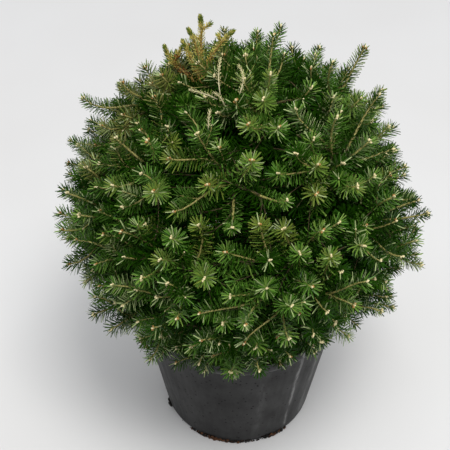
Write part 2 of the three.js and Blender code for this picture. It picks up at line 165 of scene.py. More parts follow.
# Leaders, main shoots that stand out past the rest: azimuth, elevation and reach of the tip.
LEADERS = [
    (61, 45, 1.02),
    (99, 48, 0.99),
    (62, 81, 0.98),
    (113, 12, 1.02),
    (115, -6, 1.02),
    (124, -19, 1.0),
    (-78, 31, 1.01),
    (-112, 19, 1.01),
    (-113, 6, 1.02),
    (-116, -5, 1.02),
    (-124, -21, 1.03),
]

# Finer shoots, which only the looks have. They come where there is room among their like.
AIMS_TRIED = 2500
SIDE_SPACING = 40 * MM          # nearest that a side shoot's tip comes to another outer one
SIDE_LENGTH = (65 * MM, 100 * MM)
SIDE_RADII = (2.0 * MM, 1.1 * MM)
SIDE_REACH = (0.87, 0.965)      # as shares of how far the crown reaches there
SIDE_LOWEST = -0.67             # sine of the lowest side shoots' elevation
SIDE_FAN = np.array([1.7, 1, 1])            # side shoots spread out to the left and right,
SIDE_DRIFT = np.array([-0.40, 0, 0.12])     # and their tips lean over to the left and up,
SIDE_STRAY = 0.32                           # and stray by this much any way
OUTSTANDING = 6 * MM            # tips less far than this inside the crown's shape stand out
STANDING_OUT = (30 * MM, 60 * MM)   # no side shoot ends so far behind a tip that stands out
# Side shoots that show on the crown's outline: azimuth, elevation and reach, as for the leaders.
OUTLINE_SIDES = [
    (9, 59, 0.86),
    (23, 58, 0.905),
    (45, 51, 0.87),
    (72, 35, 0.91),
    (81, 26, 0.84),
    (91, 14, 0.86),
    (138, -29, 0.92),
    (-57, 44, 0.85),
    (-67, 37, 0.865),
    (-86, 19, 0.91),
    (-101, 2, 0.97),
]
OUTLINE_SIDE_LENGTH = 115 * MM
# Twins, short shoots beside some of the outer ones.
TWIN_SHARE = 0.38
TWIN_NODE = (36 * MM, 54 * MM)  # how far behind the tip they stand
TWIN_LENGTH = (30 * MM, 44 * MM)
TWIN_SPREAD = math.radians(46)
TWIN_TURN = 1.2                 # range, in radians, of their turn round the shoot
TWIN_RISE = 0.18                # how far they bend up
TWIN_REACH = 0.97               # farthest that they come, as a share of the crown's reach
# Older shoots in the shade, in shells below the outer ones. Their dark colours are painted shade,
# which closes the crown's depth.
INNER_LAYERS = [
    SimpleNamespace(kind="inner", spacing=36 * MM, reach=(0.78, 0.86), seed=9000),
    SimpleNamespace(kind="deep", spacing=35 * MM, reach=(0.54, 0.70), seed=14000),
]
INNER_LENGTH = 90 * MM
INNER_RADII = (1.4 * MM, 0.8 * MM)
INNER_LOWEST = -0.80
INNER_SPREAD = math.radians(55)     # how far inner shoots lean over from straight outwards

# ---------------------------------------------------------------- small helpers


def chance(seed):
    """A repeatable fraction between 0 and 1 for each seed."""
    spread = np.sin(np.asarray(seed, float) * 127.1 + 311.7) * 43758.5453
    return spread - np.floor(spread)


def between(limits, share):
    return limits[0] + (limits[1] - limits[0]) * share


def unit(vectors):
    return vectors / np.linalg.norm(vectors, axis=-1, keepdims=True)


def smoothstep(value, low, high):
    share = np.clip((value - low) / (high - low), 0, 1)
    return share * share * (3 - 2 * share)


def direction_of(azimuth, elevation):
    turn, rise = math.radians(azimuth), math.radians(elevation)
    level = math.cos(rise)
    return np.array([level * math.sin(turn), level * math.cos(turn), math.sin(rise)])


def evenly_spread(number, count, lowest):
    """One of so many directions, spread evenly from straight up to the lowest sine."""
    sine = between((1, lowest), (number + 0.5) / count)
    return direction_of(math.degrees(number * GOLDEN_ANGLE), math.degrees(math.asin(sine)))


def turned_about(vector, axis, angle):
    return (
        vector * math.cos(angle)
        + np.cross(axis, vector) * math.sin(angle)
        + axis * (axis @ vector) * (1 - math.cos(angle))
    )


def any_way_across(aim, draw):
    """A direction square to an aim, turned round it by a draw from 0 to 1."""
    return turned_about(unit(np.cross(aim, [0.3, 0.5, 0.8])), aim, 6.3 * draw)


def bezier(corners, shares):
    """Points on a cubic Bezier curve with the four corners given."""
    a, b, c, d = corners
    t = np.asarray(shares)[:, None]
    return a * (1 - t) ** 3 + 3 * b * t * (1 - t) ** 2 + 3 * c * t * t * (1 - t) + d * t**3


def spline(knots, shares):
    """Points on a centripetal Catmull-Rom curve through the knots."""
    knots = np.vstack([2 * knots[0] - knots[1], knots, 2 * knots[-1] - knots[-2]])
    gaps = np.linalg.norm(np.diff(knots, axis=0), axis=1) ** 0.5
    spans = len(knots) - 3
    points = []
    for share in shares:
        place = min(share * spans, spans - 1e-9)
        i = int(place)
        t = place - i
        p0, p1, p2, p3 = knots[i : i + 4]
        d0, d1, d2 = gaps[i : i + 3]
        start = ((p1 - p0) / d0 - (p2 - p0) / (d0 + d1) + (p2 - p1) / d1) * d1
        end = ((p2 - p1) / d1 - (p3 - p1) / (d1 + d2) + (p3 - p2) / d2) * d1
        points.append(
            p1
            + start * t
            + (3 * (p2 - p1) - 2 * start - end) * t**2
            + (2 * (p1 - p2) + start + end) * t**3
        )
    return np.array(points)


def frames_along(points):
    """Headings of a line of points, and two vectors across it that turn as little as can be."""
    headings = unit(np.gradient(points, axis=0))
    side = np.cross(headings[0], [0.31, 0.52, 0.79])
    sides = []
    for heading in headings:
        side = unit(side - heading * (side @ heading))
        sides.append(side)
    sides = np.array(sides)
    return headings, sides, np.cross(headings, sides)


# ---------------------------------------------------------------- crown rule


def reach_at(direction):
    lowered = smoothstep(direction[2], FLATTENING_STARTS, FLATTENING_ENDS)
    reach = CROWN_RADIUS * (1 - TOP_FLATTENING * lowered)
    for azimuth, elevation, half_width, change in UNEVENNESS:
        cosine = np.clip(direction @ direction_of(azimuth, elevation), -1, 1)
        gap = math.acos(cosine) / math.radians(half_width)
        reach *= 1 + change * math.exp(-gap * gap)
    return reach


def from_centre(direction, distance):
    return CROWN_CENTRE + direction * distance


def crown_masses():
    masses = []
    for level, tier in enumerate(TIERS):
        for i in range(tier.count):
            seed = level * 40 + i
            stray = (chance(seed) - 0.5) * 2 * TIER_WANDER
            azimuth = tier.turn + 360 * i / tier.count + stray
            elevation = tier.elevation + (chance(seed + 17) - 0.5) * 2 * TIER_WANDER
            rung = (i * 3) % tier.count / (tier.count - 1)
            masses.append(SimpleNamespace(
                name=f"{tier.name}_{i + 1}",
                tier=tier.name,
                direction=direction_of(azimuth, elevation),
                trunk_height=between(tier.trunk, rung),
                spray=GREEN_SPRAY,
            ))
    masses.append(SimpleNamespace(
        name="top", tier="high", direction=direction_of(*TOP_MASS), spray=GREEN_SPRAY,
    ))
    masses.append(SimpleNamespace(
        name="golden", tier="golden", direction=direction_of(*GOLDEN_MASS),
        trunk_height=GOLDEN_TRUNK_HEIGHT, spray=GOLDEN_SPRAY,
    ))
    return masses


MASSES = crown_masses()
TOP = MASSES[-2]
GOLDEN = MASSES[-1]
MASS_DIRECTIONS = np.array([mass.direction for mass in MASSES])


def cell_depth(points, mass):
    """How far points lie inside the flat walls of a mass's cell."""
    others = [other.direction for other in MASSES if other is not mass]
    walls = unit(mass.direction - np.array(others))
    return ((points - CROWN_CENTRE) @ walls.T).min(axis=-1)


def clear_of_pot(points, room):
    over = points[..., 2] > POT_HEIGHT + room
    beside = np.hypot(points[..., 0], points[..., 1]) > MOUTH_RADIUS + room
    return over | beside


def has_room(points, mass, room):
    return (clear_of_pot(points, room) & (cell_depth(points, mass) > CLEARANCE / 2 + room)).all()


def home_of(direction):
    return MASSES[int(np.argmax(MASS_DIRECTIONS @ direction))]


def shoot_line(mass, aim, reach, given):
    """Tip and heading of a main shoot, drawn in towards its mass until it fits."""
    spray = mass.spray
    fork = from_centre(mass.direction, FORK_AT)
    stops = np.arange(1, LINE_CHECKS + 1)[:, None] / LINE_CHECKS
    for pull in PULLS:
        outward = unit(aim * (1 - pull) + mass.direction * pull)
        tip = from_centre(outward, reach - spray.needle * NEEDLE_OVERHANG)
        for lift in LIFTS:
            heading = unit(outward + UP * PHOTOTROPISM * lift) if given is None else given
            elbow = tip - heading * spray.length
            ends = np.linspace(elbow, tip, spray.steps + 1)
            line = np.vstack([[fork], ends])
            tried = [line[i] * (1 - stops) + line[i + 1] * stops for i in range(len(line) - 1)]
            if has_room(np.vstack(tried), mass, spray.radius * 1.2):
                return tip, heading
    return None


def main_aims():
    """Evenly spread aims, then the skirt's own row, then the leaders, each with its reach."""
    aims = []
    for i in range(SHOOT_COUNT):
        aim = evenly_spread(i, SHOOT_COUNT, LOWEST_AIM)
        aims.append((aim, reach_at(aim) * (1 + (chance(i + 500) - 0.6) * 2 * SHOOT_STRAY)))
    for i in range(SKIRT_SHOOTS):
        azimuth = (i + chance(i + 700) * 0.4) * 360 / SKIRT_SHOOTS
        aim = direction_of(azimuth, SKIRT_ELEVATION + 4 * chance(i + 740))
        aims.append((aim, reach_at(aim) * (1 + (chance(i + 780) - 0.6) * SHOOT_STRAY)))
    for azimuth, elevation, reach in LEADERS:
        aims.append((direction_of(azimuth, elevation), reach * CROWN_RADIUS))
    homes = [home_of(aim) for aim, _ in aims]
    return [(home, aim, reach, None)
            for home, (aim, reach) in zip(homes, aims) if home is not GOLDEN]


def golden_aims():
    return [
        (GOLDEN, direction_of(*tip), reach * CROWN_RADIUS, direction_of(*heading))
        for tip, reach, heading in GOLDEN_SHOOTS
    ]


# ---------------------------------------------------------------- shoots


def make_shoot(kind, mass, start, lead, tip, heading, radii, seed):
    """A shoot from start, leaving along lead, to its tip, where it runs along heading."""
    run = np.linalg.norm(tip - start)
    at_foot, at_tip = SHOOT_HANDLES
    corners = (start, start + lead * run * at_foot, tip - heading * run * at_tip, tip)
    points = bezier(corners, np.linspace(0, 1, SHOOT_KNOTS))
    steps = np.linalg.norm(np.diff(points, axis=0), axis=1)
    along = np.concatenate([[0], np.cumsum(steps)])
    return SimpleNamespace(
        kind=kind, mass=mass, points=points, along=along, length=along[-1], radii=radii, seed=seed,
    )


def at_length(shoot, distance, values=None):
    """Points of a shoot, or values given at its points, at distances along it."""
    values = shoot.points if values is None else values
    return np.stack([np.interp(distance, shoot.along, values[:, k]) for k in range(3)], axis=-1)


def main_shoots():
    shoots = []
    for seed, (mass, aim, reach, given) in enumerate(main_aims() + golden_aims()):
        found = shoot_line(mass, aim, reach, given)
        if found is None:
            continue
        tip, heading = found
        fork = from_centre(mass.direction, FORK_AT)
        kind = "golden" if mass is GOLDEN else "main"
        shoots.append(make_shoot(
            kind, mass, fork, mass.direction, tip, heading, (3.2 * MM, 1.3 * MM), seed,
        ))
    return shoots


def fork_off(parent, back):
    """Where a shoot forks off its parent, so far behind the parent's tip, and its lead."""
    distance = max(parent.length - back, parent.length * LOWEST_FORK)
    start = at_length(parent, distance)
    ahead = at_length(parent, min(distance + 4 * MM, parent.length))
    return start, unit(ahead - start)


def golden_forks(clubs):
    shoots = []
    for number, (club, back, heading, length) in enumerate(GOLDEN_FORKS):
        start, lead = fork_off(clubs[club], back)
        heading = direction_of(*heading)
        shoots.append(make_shoot(
            "golden", GOLDEN, start, unit(lead + heading), start + heading * length, heading,
            (1.8 * MM, 1.2 * MM), 700 + number,
        ))
    return shoots


def on_crown(azimuth, elevation, reach):
    """A point at a share of the crown's reach in its direction."""
    direction = direction_of(azimuth, elevation)
    return from_centre(direction, reach * reach_at(direction))


def pale_shoots():
    shoots = []
    for number, ends in enumerate(PALE_SHOOTS):
        foot, tip = [on_crown(*end) for end in ends]
        along = unit(tip - foot)
        outward = unit(foot - CROWN_CENTRE)
        sideways = np.cross(along, outward) * PALE_BEND * (2 * chance(number + 40) - 1)
        shoots.append(make_shoot(
            "pale", home_of(outward), foot - outward * 10 * MM, unit(along + outward - sideways),
            tip, unit(along + sideways), (1.0 * MM, 0.7 * MM), 800 + number,
        ))
    return shoots


def spread_tips(seed, reach, spacing, lowest, taken):
    """Aims and tips spread over the crown where nothing taken, or earlier, is too near."""
    taken = list(taken)
    found = []
    for i in np.argsort(chance(seed + np.arange(AIMS_TRIED))):
        aim = evenly_spread(i, AIMS_TRIED, lowest)
        tip = from_centre(aim, reach_at(aim) * between(reach, chance(seed + i + 0.3)))
        if taken and np.linalg.norm(np.array(taken) - tip, axis=1).min() < spacing:
            continue
        if clear_of_pot(tip, 10 * MM):
            taken.append(tip)
            found.append((seed + int(i), aim, tip))
    return found


def branch(kind, mains, tip, heading, length, radii, seed):
    """A finer shoot to a tip, off whichever main shoot passes nearest to where it would start."""
    lines = np.array([shoot.points for shoot in mains])
    gaps = np.linalg.norm(lines - (tip - heading * length), axis=2)
    parent, knot = np.unravel_index(np.argmin(gaps), gaps.shape)
    knot = min(max(knot, 2), lines.shape[1] - 2)
    start = lines[parent, knot]
    lead = unit(unit(lines[parent, knot + 1] - start) + unit(tip - start))
    return make_shoot(kind, mains[parent].mass, start, lead, tip, heading, radii, seed)


def stands_out(shoot):
    """Whether a shoot runs out past its neighbours."""
    outward = shoot.points[-1] - CROWN_CENTRE
    return np.linalg.norm(outward) + OUTSTANDING > reach_at(unit(outward))


def side_shoots(mains):
    """Side shoots, first those on the outline and then as many more as there is room for."""
    shoots = []
    for number, (azimuth, elevation, reach) in enumerate(OUTLINE_SIDES):
        aim = direction_of(azimuth, elevation)
        tip = from_centre(aim, reach * CROWN_RADIUS)
        heading = unit(aim + UP * PHOTOTROPISM)
        shoots.append(branch(
            "side", mains, tip, heading, OUTLINE_SIDE_LENGTH, SIDE_RADII, 900 + number,
        ))
    tips = [shoot.points[-1] for shoot in mains + shoots]
    bare = [at_length(shoot, shoot.length - back)
            for shoot in mains + shoots if stands_out(shoot) for back in STANDING_OUT]
    for seed, aim, tip in spread_tips(1000, SIDE_REACH, SIDE_SPACING, SIDE_LOWEST, tips + bare):
        astray = any_way_across(aim, chance(seed + 0.6)) * SIDE_STRAY
        heading = unit(aim * SIDE_FAN + UP * PHOTOTROPISM + SIDE_DRIFT + astray)
        length = between(SIDE_LENGTH, chance(seed + 0.2))
        shoots.append(branch("side", mains, tip, heading, length, SIDE_RADII, seed))
    return shoots


def twin_shoots(parents):
    """Short shoots at the last node of many shoots, spread to their sides."""
    shoots = []
    for parent in parents:
        if chance(parent.seed + 3100) > TWIN_SHARE or stands_out(parent):
            continue
        seed = parent.seed * 3 + 5000
        start, lead = fork_off(parent, between(TWIN_NODE, chance(seed)))
        across = unit(np.cross(lead, unit(start - CROWN_CENTRE) + UP * 0.35 + 1e-3))
        sideways = turned_about(across, lead, (chance(seed + 0.37) - 0.5) * TWIN_TURN)
        spread = lead * math.cos(TWIN_SPREAD) + sideways * math.sin(TWIN_SPREAD)
        heading = unit(spread + UP * TWIN_RISE)
        tip = start + heading * between(TWIN_LENGTH, chance(seed + 0.71))
        outward = tip - CROWN_CENTRE
        if np.linalg.norm(outward) > reach_at(unit(outward)) * TWIN_REACH:
            continue
        if clear_of_pot(tip, 8 * MM):
            shoots.append(make_shoot(
                "twin", parent.mass, start, unit(lead + heading), tip, heading,
                (1.2 * MM, 0.8 * MM), seed,
            ))
    return shoots


def inner_shoots(mains):
    """Older shoots in the shade, which fill the depth below the outer ones."""
    shoots = []
    for layer in INNER_LAYERS:
        for seed, aim, tip in spread_tips(layer.seed, layer.reach, layer.spacing, INNER_LOWEST, []):
            across = any_way_across(aim, chance(seed))
            heading = aim * math.cos(INNER_SPREAD) + across * math.sin(INNER_SPREAD)
            shoots.append(branch(layer.kind, mains, tip, heading, INNER_LENGTH, INNER_RADII, seed))
    return shoots


# ---------------------------------------------------------------- needles

OUTER_KINDS = ("main", "side", "twin")
SHADED_KINDS = ("inner", "deep")
YELLOW_KINDS = ("golden", "pale")

# How each kind of shoot is needled: the needled length back from the tip in millimetres, needles
# per metre at the back and at the tip, needle length and width in millimetres, and lean from the
# shoot at back and tip in radians. Needles in the depth of the crown are larger than life, as
# they only close it, and dark as painted shade.
NEEDLING = {
    "main": SimpleNamespace(back=140, density=(1100, 1950), size=(21.5, 2.2), lean=(1.38, 1.05)),
    "side": SimpleNamespace(back=100, density=(1100, 1950), size=(21.0, 2.2), lean=(1.36, 1.03)),
    "twin": SimpleNamespace(back=45, density=(1200, 1950), size=(19.5, 2.1), lean=(1.32, 1.00)),
    "inner": SimpleNamespace(back=90, density=(900, 1100), size=(24.0, 3.0), lean=(1.3, 0.95)),
    "deep": SimpleNamespace(back=110, density=(750, 950), size=(34.0, 5.8), lean=(1.3, 0.95)),
    "golden": SimpleNamespace(back=85, density=(900, 3200), size=(8.0, 1.7), lean=(0.95, 0.5)),
    "pale": SimpleNamespace(back=60, density=(600, 1000), size=(5.0, 1.1), lean=(0.85, 0.6)),
}
NEEDLE_THICKNESS = 0.9 * MM
NEEDLE_UPTURN = 0.12            # how far needles rise towards the light
NEEDLE_TWIST = 0.85             # how far, in radians, needles turn at their feet
NEEDLE_BEND = 0.10              # how far a needle's tip bends towards the shoot's tip
LEADER_NEEDLES = 0.70           # how long needles are on shoots that stand out, against the rest,
LEADER_LOWEST = 420 * MM        # where the shoots end higher than this
PARTING = 0.6                   # how far needles part from a shoot's outer side, to show its wood,
PARTING_RISE = (-0.05, 0.30)    # from nothing to fully between these sines of their elevation
ANGLE_STRAY = 0.08              # how far needles stray round their shoot, in radians,
LEAN_STRAY = 0.05               # and in their lean
LEAN_FALL = 2.2                 # power with which their lean falls towards a shoot's tip
TIP_CLOSING = 0.35              # share by which the last needles lean less, closing over the bud
TIP_SHORTENING = 0.30           # and share by which they are shorter
NEEDLE_FOOT = 0.8               # how far out needles stand in the twig, as a share of its radius
YOUNG_WOOD = 26 * MM            # needles this near a shoot's tip show their shape best
OLD_WOOD = 60 * MM              # behind this, needles are from earlier years
POT_ROOM = 1.5 * MM

NEEDLE_COLOURS = {
    # painted shade: the darkest green, for needles in the crown's depth
    "needle_shade": (0.009, 0.038, 0.001),
    "needle_deep": (0.015, 0.058, 0.002),
    "needle_mid": (0.082, 0.196, 0.022),
    "needle_fresh": (0.150, 0.256, 0.040),
    "needle_olive": (0.150, 0.208, 0.030),
    "needle_bronze": (0.165, 0.174, 0.042),
    "needle_gold": (0.66, 0.58, 0.150),
    "needle_ochre": (0.66, 0.46, 0.095),
    "needle_dead": (0.30, 0.09, 0.02),
    "needle_cream": (0.54, 0.50, 0.24),
    "needle_under": (0.045, 0.105, 0.014),
    # the pale bands of the needles' undersides, made brighter as painted highlights
    "needle_silver": (0.34, 0.42, 0.18),
}
PAINTED_SHADE, DEEP, MID, FRESH, OLIVE, BRONZE, GOLD, OCHRE, DEAD, CREAM, UNDER, SILVER_AND_GLINT = range(12)
NEEDLE_SHEEN = 0.22
NEEDLE_ROUGHNESS = 0.32
DULL_NEEDLES = {"needle_shade": 0.05, "needle_deep": 0.07, "needle_under": 0.06}

# How whole sprays are dealt their colour, by draws from 0 to 1. Dealing by place paints light and
# shade.
INNER_LIMITS = (0.40, 0.85)     # draws below which an inner spray is dealt painted shade, or at most deep green
LOW_SHADE = 0.5                 # how much inner draws shrink in the crown's lower half, for more painted shade there
OUTER_LIMITS = (0.27, 0.75, 0.96)       # those below which an outer one is deep, mid or fresh
SHOULDER = 0.60                 # sine of the elevation where outer sprays are lighter than elsewhere, as painted light: how much it adds to their draws there, and how fast that falls off above and below it, into painted shade
SHOULDER_LIFT = 0.20            # elsewhere: how much it adds to their draws there,
OFF_SHOULDER = 0.90             # and how fast that falls off above and below it
LOW_SPRAYS = -0.20              # sine of the elevation below which some sprays are lighter again, as painted light, and how fast that grows below it
LOW_LIFT = 1.6                  # and how fast that grows below it
OLIVE_SIDE = (-75, 25)          # direction in which outer sprays are lighter too,
OLIVE_TINGE = 0.10              # and how much it adds to their draws there
BRONZE_SIDE = (-64, 36)         # direction in which some are bronzed by the sun,
BRONZE_SHARE = 0.80             # the share of them there,
BRONZE_FALL = 6                 # and the power with which it falls off round it
SILVER_SHARE = 0.12             # share of the sprays that show their needles' pale bands
# How single needles differ from their spray. Needles behind OLD_WOOD are a shade darker,
# partly their older green and partly painted shade.
SPRAY_TIP = 0.85                # where a spray's tip starts, as a share of the needled length
DARKER_SHARE = 0.22             # share that is a shade darker,
LIGHTER_SHARE = 0.5             # a shade lighter, partly as painted light, at the tip of a spray that isn't in the shade,
TURNED_AND_GLINT_SHARE = (0.15, 0.06)     # and silver on top, partly needles showing their undersides and partly painted highlights, at a spray's tip and behind
GREENER_SHARE = (0.7, 0.24)     # share of green ones among the golden, at a tip and behind
BROWNED_LEFT_OF = -86 * MM      # golden shoots beyond this have brown dead needles at their feet,
BROWNED_SHARE = 0.8             # and this share of them


def spray_colour(shoot):
    """The colour that a whole spray is dealt, as a material slot."""
    if shoot.kind == "pale":
        return CREAM
    # Deep sprays are all painted shade.
    if shoot.kind == "deep":
        return PAINTED_SHADE
    draw = chance(shoot.seed + 0.123)
    outward = unit(shoot.points[-1] - CROWN_CENTRE)
    # Inner sprays are dealt painted shade, most of all in the crown's lower half.
    if shoot.kind == "inner":
        draw *= 1 if outward[2] > 0 else LOW_SHADE
        return PAINTED_SHADE + int(np.digitize(draw, INNER_LIMITS))
    sunned = max(outward @ direction_of(*BRONZE_SIDE), 0) ** BRONZE_FALL
    if chance(shoot.seed + 0.61) < BRONZE_SHARE * sunned:
        return BRONZE
    # Painted light and shade: outer sprays are lighter round the shoulder and again low down,
    # darker elsewhere.
    draw += SHOULDER_LIFT - OFF_SHOULDER * abs(outward[2] - SHOULDER)
    draw += LOW_LIFT * max(LOW_SPRAYS - outward[2], 0)
    draw += OLIVE_TINGE * max(outward @ direction_of(*OLIVE_SIDE), 0)
    return DEEP + int(np.digitize(draw, OUTER_LIMITS))


def golden_colours(seeds, share, base):
    """Golden needles, with greener ones, most of all at the tips, and dead ones at some feet."""
    green = chance(seeds + 0.3) < np.where(share > SPRAY_TIP, *GREENER_SHARE)
    browned = (share < 0.5) & (base[:, 0] < BROWNED_LEFT_OF)
    browned &= chance(seeds + 0.2) < BROWNED_SHARE
    return np.select([browned, green, share > 0.3], [DEAD, OLIVE, GOLD], OCHRE)


def needle_colours(shoot, seeds, share, behind, base):
    """Material slots of the needles' upper and under sides."""
    if shoot.kind == "golden":
        colour = golden_colours(seeds, share, base)
        return colour, colour
    colour = np.full(len(seeds), spray_colour(shoot))
    if shoot.kind == "pale":
        return colour, colour
    # Older needles are a shade darker: partly their own older green, partly painted shade.
    darker = (behind > OLD_WOOD) | (chance(seeds + 0.6) < DARKER_SHARE)
    colour[darker & (colour > PAINTED_SHADE)] -= 1
    # Lighter tips are partly young growth and partly painted light.
    lighter = (share > SPRAY_TIP) & (chance(seeds + 0.7) < LIGHTER_SHARE)
    colour[lighter & (colour > DEEP) & (colour < OLIVE)] += 1
    if shoot.kind in OUTER_KINDS:
        # Some upper sides are silver: partly needles showing their undersides, partly painted
        # highlights.
        turned_and_glinting = chance(seeds + 0.9) < np.where(share > SPRAY_TIP, *TURNED_AND_GLINT_SHARE)
        colour[turned_and_glinting] = SILVER_AND_GLINT
    silvery = chance(shoot.seed + 0.77) < SILVER_SHARE
    return colour, np.full(len(seeds), SILVER_AND_GLINT if silvery else UNDER)


def dots(first, second):
    return (first * second).sum(axis=1, keepdims=True)


def parted(outward, heading, base):
    """Ways out from a shoot, turned aside from the crown's outside."""
    upper = unit(base - CROWN_CENTRE)
    share = PARTING * smoothstep(upper[:, 2:], *PARTING_RISE)
    upper -= heading * dots(upper, heading)
    return unit(outward - share * np.maximum(dots(outward, upper), 0) * upper)


def needle_size(shoot, share):
    """Needles are shorter at the back of a spray, round its bud, and on shoots that stand out."""
    size = np.minimum(0.82 + 0.5 * share, 1.0)
    size *= 1 - TIP_SHORTENING * smoothstep(share, 0.9, 1.0)
    if shoot.kind == "golden":
        return size * (0.6 + 0.5 * share)
    if shoot.kind in OUTER_KINDS and stands_out(shoot) and shoot.points[-1, 2] > LEADER_LOWEST:
        return size * LEADER_NEEDLES
    return size


def needles_of(shoot, young):
    """Arrays that describe the young needles of one shoot, or its older ones."""
    style = NEEDLING[shoot.kind]
    back = min(style.back * MM, shoot.length * 0.95)
    sparse, dense = style.density
    count = max(8, int(back * (sparse + dense) / 2))
    order = np.arange(count)
    seeds = shoot.seed * 17.31 + order * 1.917
    share = (order + 0.5) / count
    share += share * (1 - share) * (dense - sparse) / (dense + sparse)
    behind = back * (1 - share)
    distance = shoot.length - behind

    base = at_length(shoot, distance)
    heading, side, other = [
        unit(at_length(shoot, distance, vectors)) for vectors in frames_along(shoot.points)
    ]
    angle = order * GOLDEN_ANGLE + (chance(seeds) - 0.5) * 2 * ANGLE_STRAY + chance(shoot.seed) * 6
    outward = side * np.cos(angle)[:, None] + other * np.sin(angle)[:, None]
    if shoot.kind in OUTER_KINDS:
        outward = parted(outward, heading, base)
    lean = between(style.lean, share**LEAN_FALL) + (chance(seeds + 0.4) - 0.5) * 2 * LEAN_STRAY
    lean = (lean * (1 - TIP_CLOSING * smoothstep(share, 0.95, 1.0)))[:, None]
    along = unit(heading * np.cos(lean) + outward * np.sin(lean) + UP * NEEDLE_UPTURN)
    face = unit(heading - along * dots(heading, along))
    twist = ((chance(seeds + 0.5) - 0.5) * 2 * NEEDLE_TWIST)[:, None]
    face = face * np.cos(twist) + np.cross(along, face) * np.sin(twist)

    sizes = needle_size(shoot, share) * (0.9 + 0.2 * chance(seeds + 0.8))
    length = style.size[0] * MM * sizes
    width = np.full(count, style.size[1] * MM)
    colour, under = needle_colours(shoot, seeds, share, behind, base)
    radius = between(shoot.radii, distance / shoot.length)[:, None]
    keep = clear_of_pot(base + along * length[:, None], POT_ROOM) & clear_of_pot(base, POT_ROOM)
    keep &= (behind < YOUNG_WOOD) == young
    foot = base + outward * radius * NEEDLE_FOOT
    parts = (foot, along, face, length, width, colour, under)
    return [part[keep] for part in parts]


def alike(corners, faces):
    """Vertices and faces of many like solids, from their first corners, their second and so on."""
    first = np.arange(len(corners[0]))[:, None] * len(corners)
    vertices = np.stack(corners, axis=1).reshape(-1, 3)
    return vertices, [(first + face, slot) for face, slot in faces]


def blades(base, along, face, length, width, colour, under):
    """Bent blades of eight triangles: a point, a waist with a keel, and a blunt end."""
    half = np.cross(along, face) * (width / 2)[:, None]
    reach = along * length[:, None]
    bend = face * (length * NEEDLE_BEND)[:, None]
    waist = base + reach * 0.3 + bend * 0.15
    end = base + reach + bend
    corners = [
        base, waist - half, waist + half, waist - face * NEEDLE_THICKNESS,
        end - half * 0.6, end + half * 0.6,
    ]
    return alike(corners, [
        ([0, 1, 2], colour), ([1, 4, 5, 2], colour), ([0, 3, 1], under), ([0, 2, 3], under),
        ([1, 3, 4], under), ([3, 5, 4], under), ([2, 5, 3], under),
    ])


def wedges(base, along, face, length, width, colour, under):
    """Straight blades of six triangles, for older needles."""
    half = np.cross(along, face) * (width / 2)[:, None]
    end = base + along * length[:, None]
    corners = [
        base - half * 0.5, base + half * 0.5, end - half * 0.8, end + half * 0.8,
        end - face * NEEDLE_THICKNESS,
    ]
    return alike(corners, [
        ([0, 2, 3, 1], colour), ([2, 4, 3], colour), ([0, 1, 4], under), ([0, 4, 2], under),
        ([1, 3, 4], under),
    ])


def splinters(base, along, face, length, width, colour, _):
    """Blades of four triangles, for the shade."""
    half = np.cross(along, face) * (width / 2)[:, None]
    end = base + along * length[:, None]
    keel = base + (end - base) * 0.6 - face * NEEDLE_THICKNESS
    faces = [0, 1, 2], [0, 3, 1], [0, 2, 3], [1, 3, 2]
    return alike([base, end - half, end + half, keel], [(face, colour) for face in faces])


def needle_mesh(name, shoots, materials):
    """All the needles of some shoots: the youngest bent, the older ones straight."""
    vertices, faces, first = [], [], 0
    for shape, kinds, young in (
        (blades, OUTER_KINDS + YELLOW_KINDS, True),
        (wedges, OUTER_KINDS + YELLOW_KINDS, False),
        (splinters, SHADED_KINDS, False),
        (splinters, SHADED_KINDS, True),
    ):
        parts = [needles_of(shoot, young) for shoot in shoots if shoot.kind in kinds]
        if not parts:
            continue
        part_vertices, part_faces = shape(*[np.concatenate(part) for part in zip(*parts)])
        vertices.append(part_vertices)
        faces += [(corners + first, slot) for corners, slot in part_faces]
        first += len(part_vertices)
    return build_mesh(name, np.vstack(vertices), faces, materials, smooth=False)


# ---------------------------------------------------------------- meshes


def link_object(name, data):
    made = bpy.data.objects.new(name, data)
    bpy.context.scene.collection.objects.link(made)
    return made


def build_mesh(name, vertices, faces, materials, smooth=True):
    """An object from arrays. faces holds pairs of corner indices and material slots."""
    mesh = bpy.data.meshes.new(name)
    corners = np.concatenate([group.ravel() for group, _ in faces])
    totals = np.concatenate([np.full(len(group), group.shape[1]) for group, _ in faces])
    slots = np.concatenate([np.broadcast_to(slot, len(group)) for group, slot in faces])
    mesh.vertices.add(len(vertices))
    mesh.vertices.foreach_set("co", np.asarray(vertices, np.float32).ravel())
    mesh.loops.add(len(corners))
    mesh.loops.foreach_set("vertex_index", corners.astype(np.int32))
    mesh.polygons.add(len(totals))
    starts = np.concatenate([[0], np.cumsum(totals)[:-1]])
    mesh.polygons.foreach_set("loop_start", starts.astype(np.int32))
    mesh.polygons.foreach_set("material_index", slots.astype(np.int32))
    mesh.polygons.foreach_set("use_smooth", np.full(len(totals), smooth))
    for material in materials:
        mesh.materials.append(material)
    mesh.update(calc_edges=True)
    return link_object(name, mesh)


def closed_faces(rings, sides):
    """Quads between rings of vertices, and caps to the two end points that follow the rings."""
    start = np.arange(sides)
    after = (start + 1) % sides
    ring = np.arange(rings - 1)[:, None] * sides
    a, b = (ring + start).ravel(), (ring + after).ravel()
    quads = np.stack([a, b, b + sides, a + sides], axis=1)
    last = (rings - 1) * sides
    foot = np.full(sides, rings * sides)
    caps = np.vstack([
        np.stack([after, start, foot], axis=1),
        np.stack([last + start, last + after, foot + 1], axis=1),
    ])
    return quads, caps


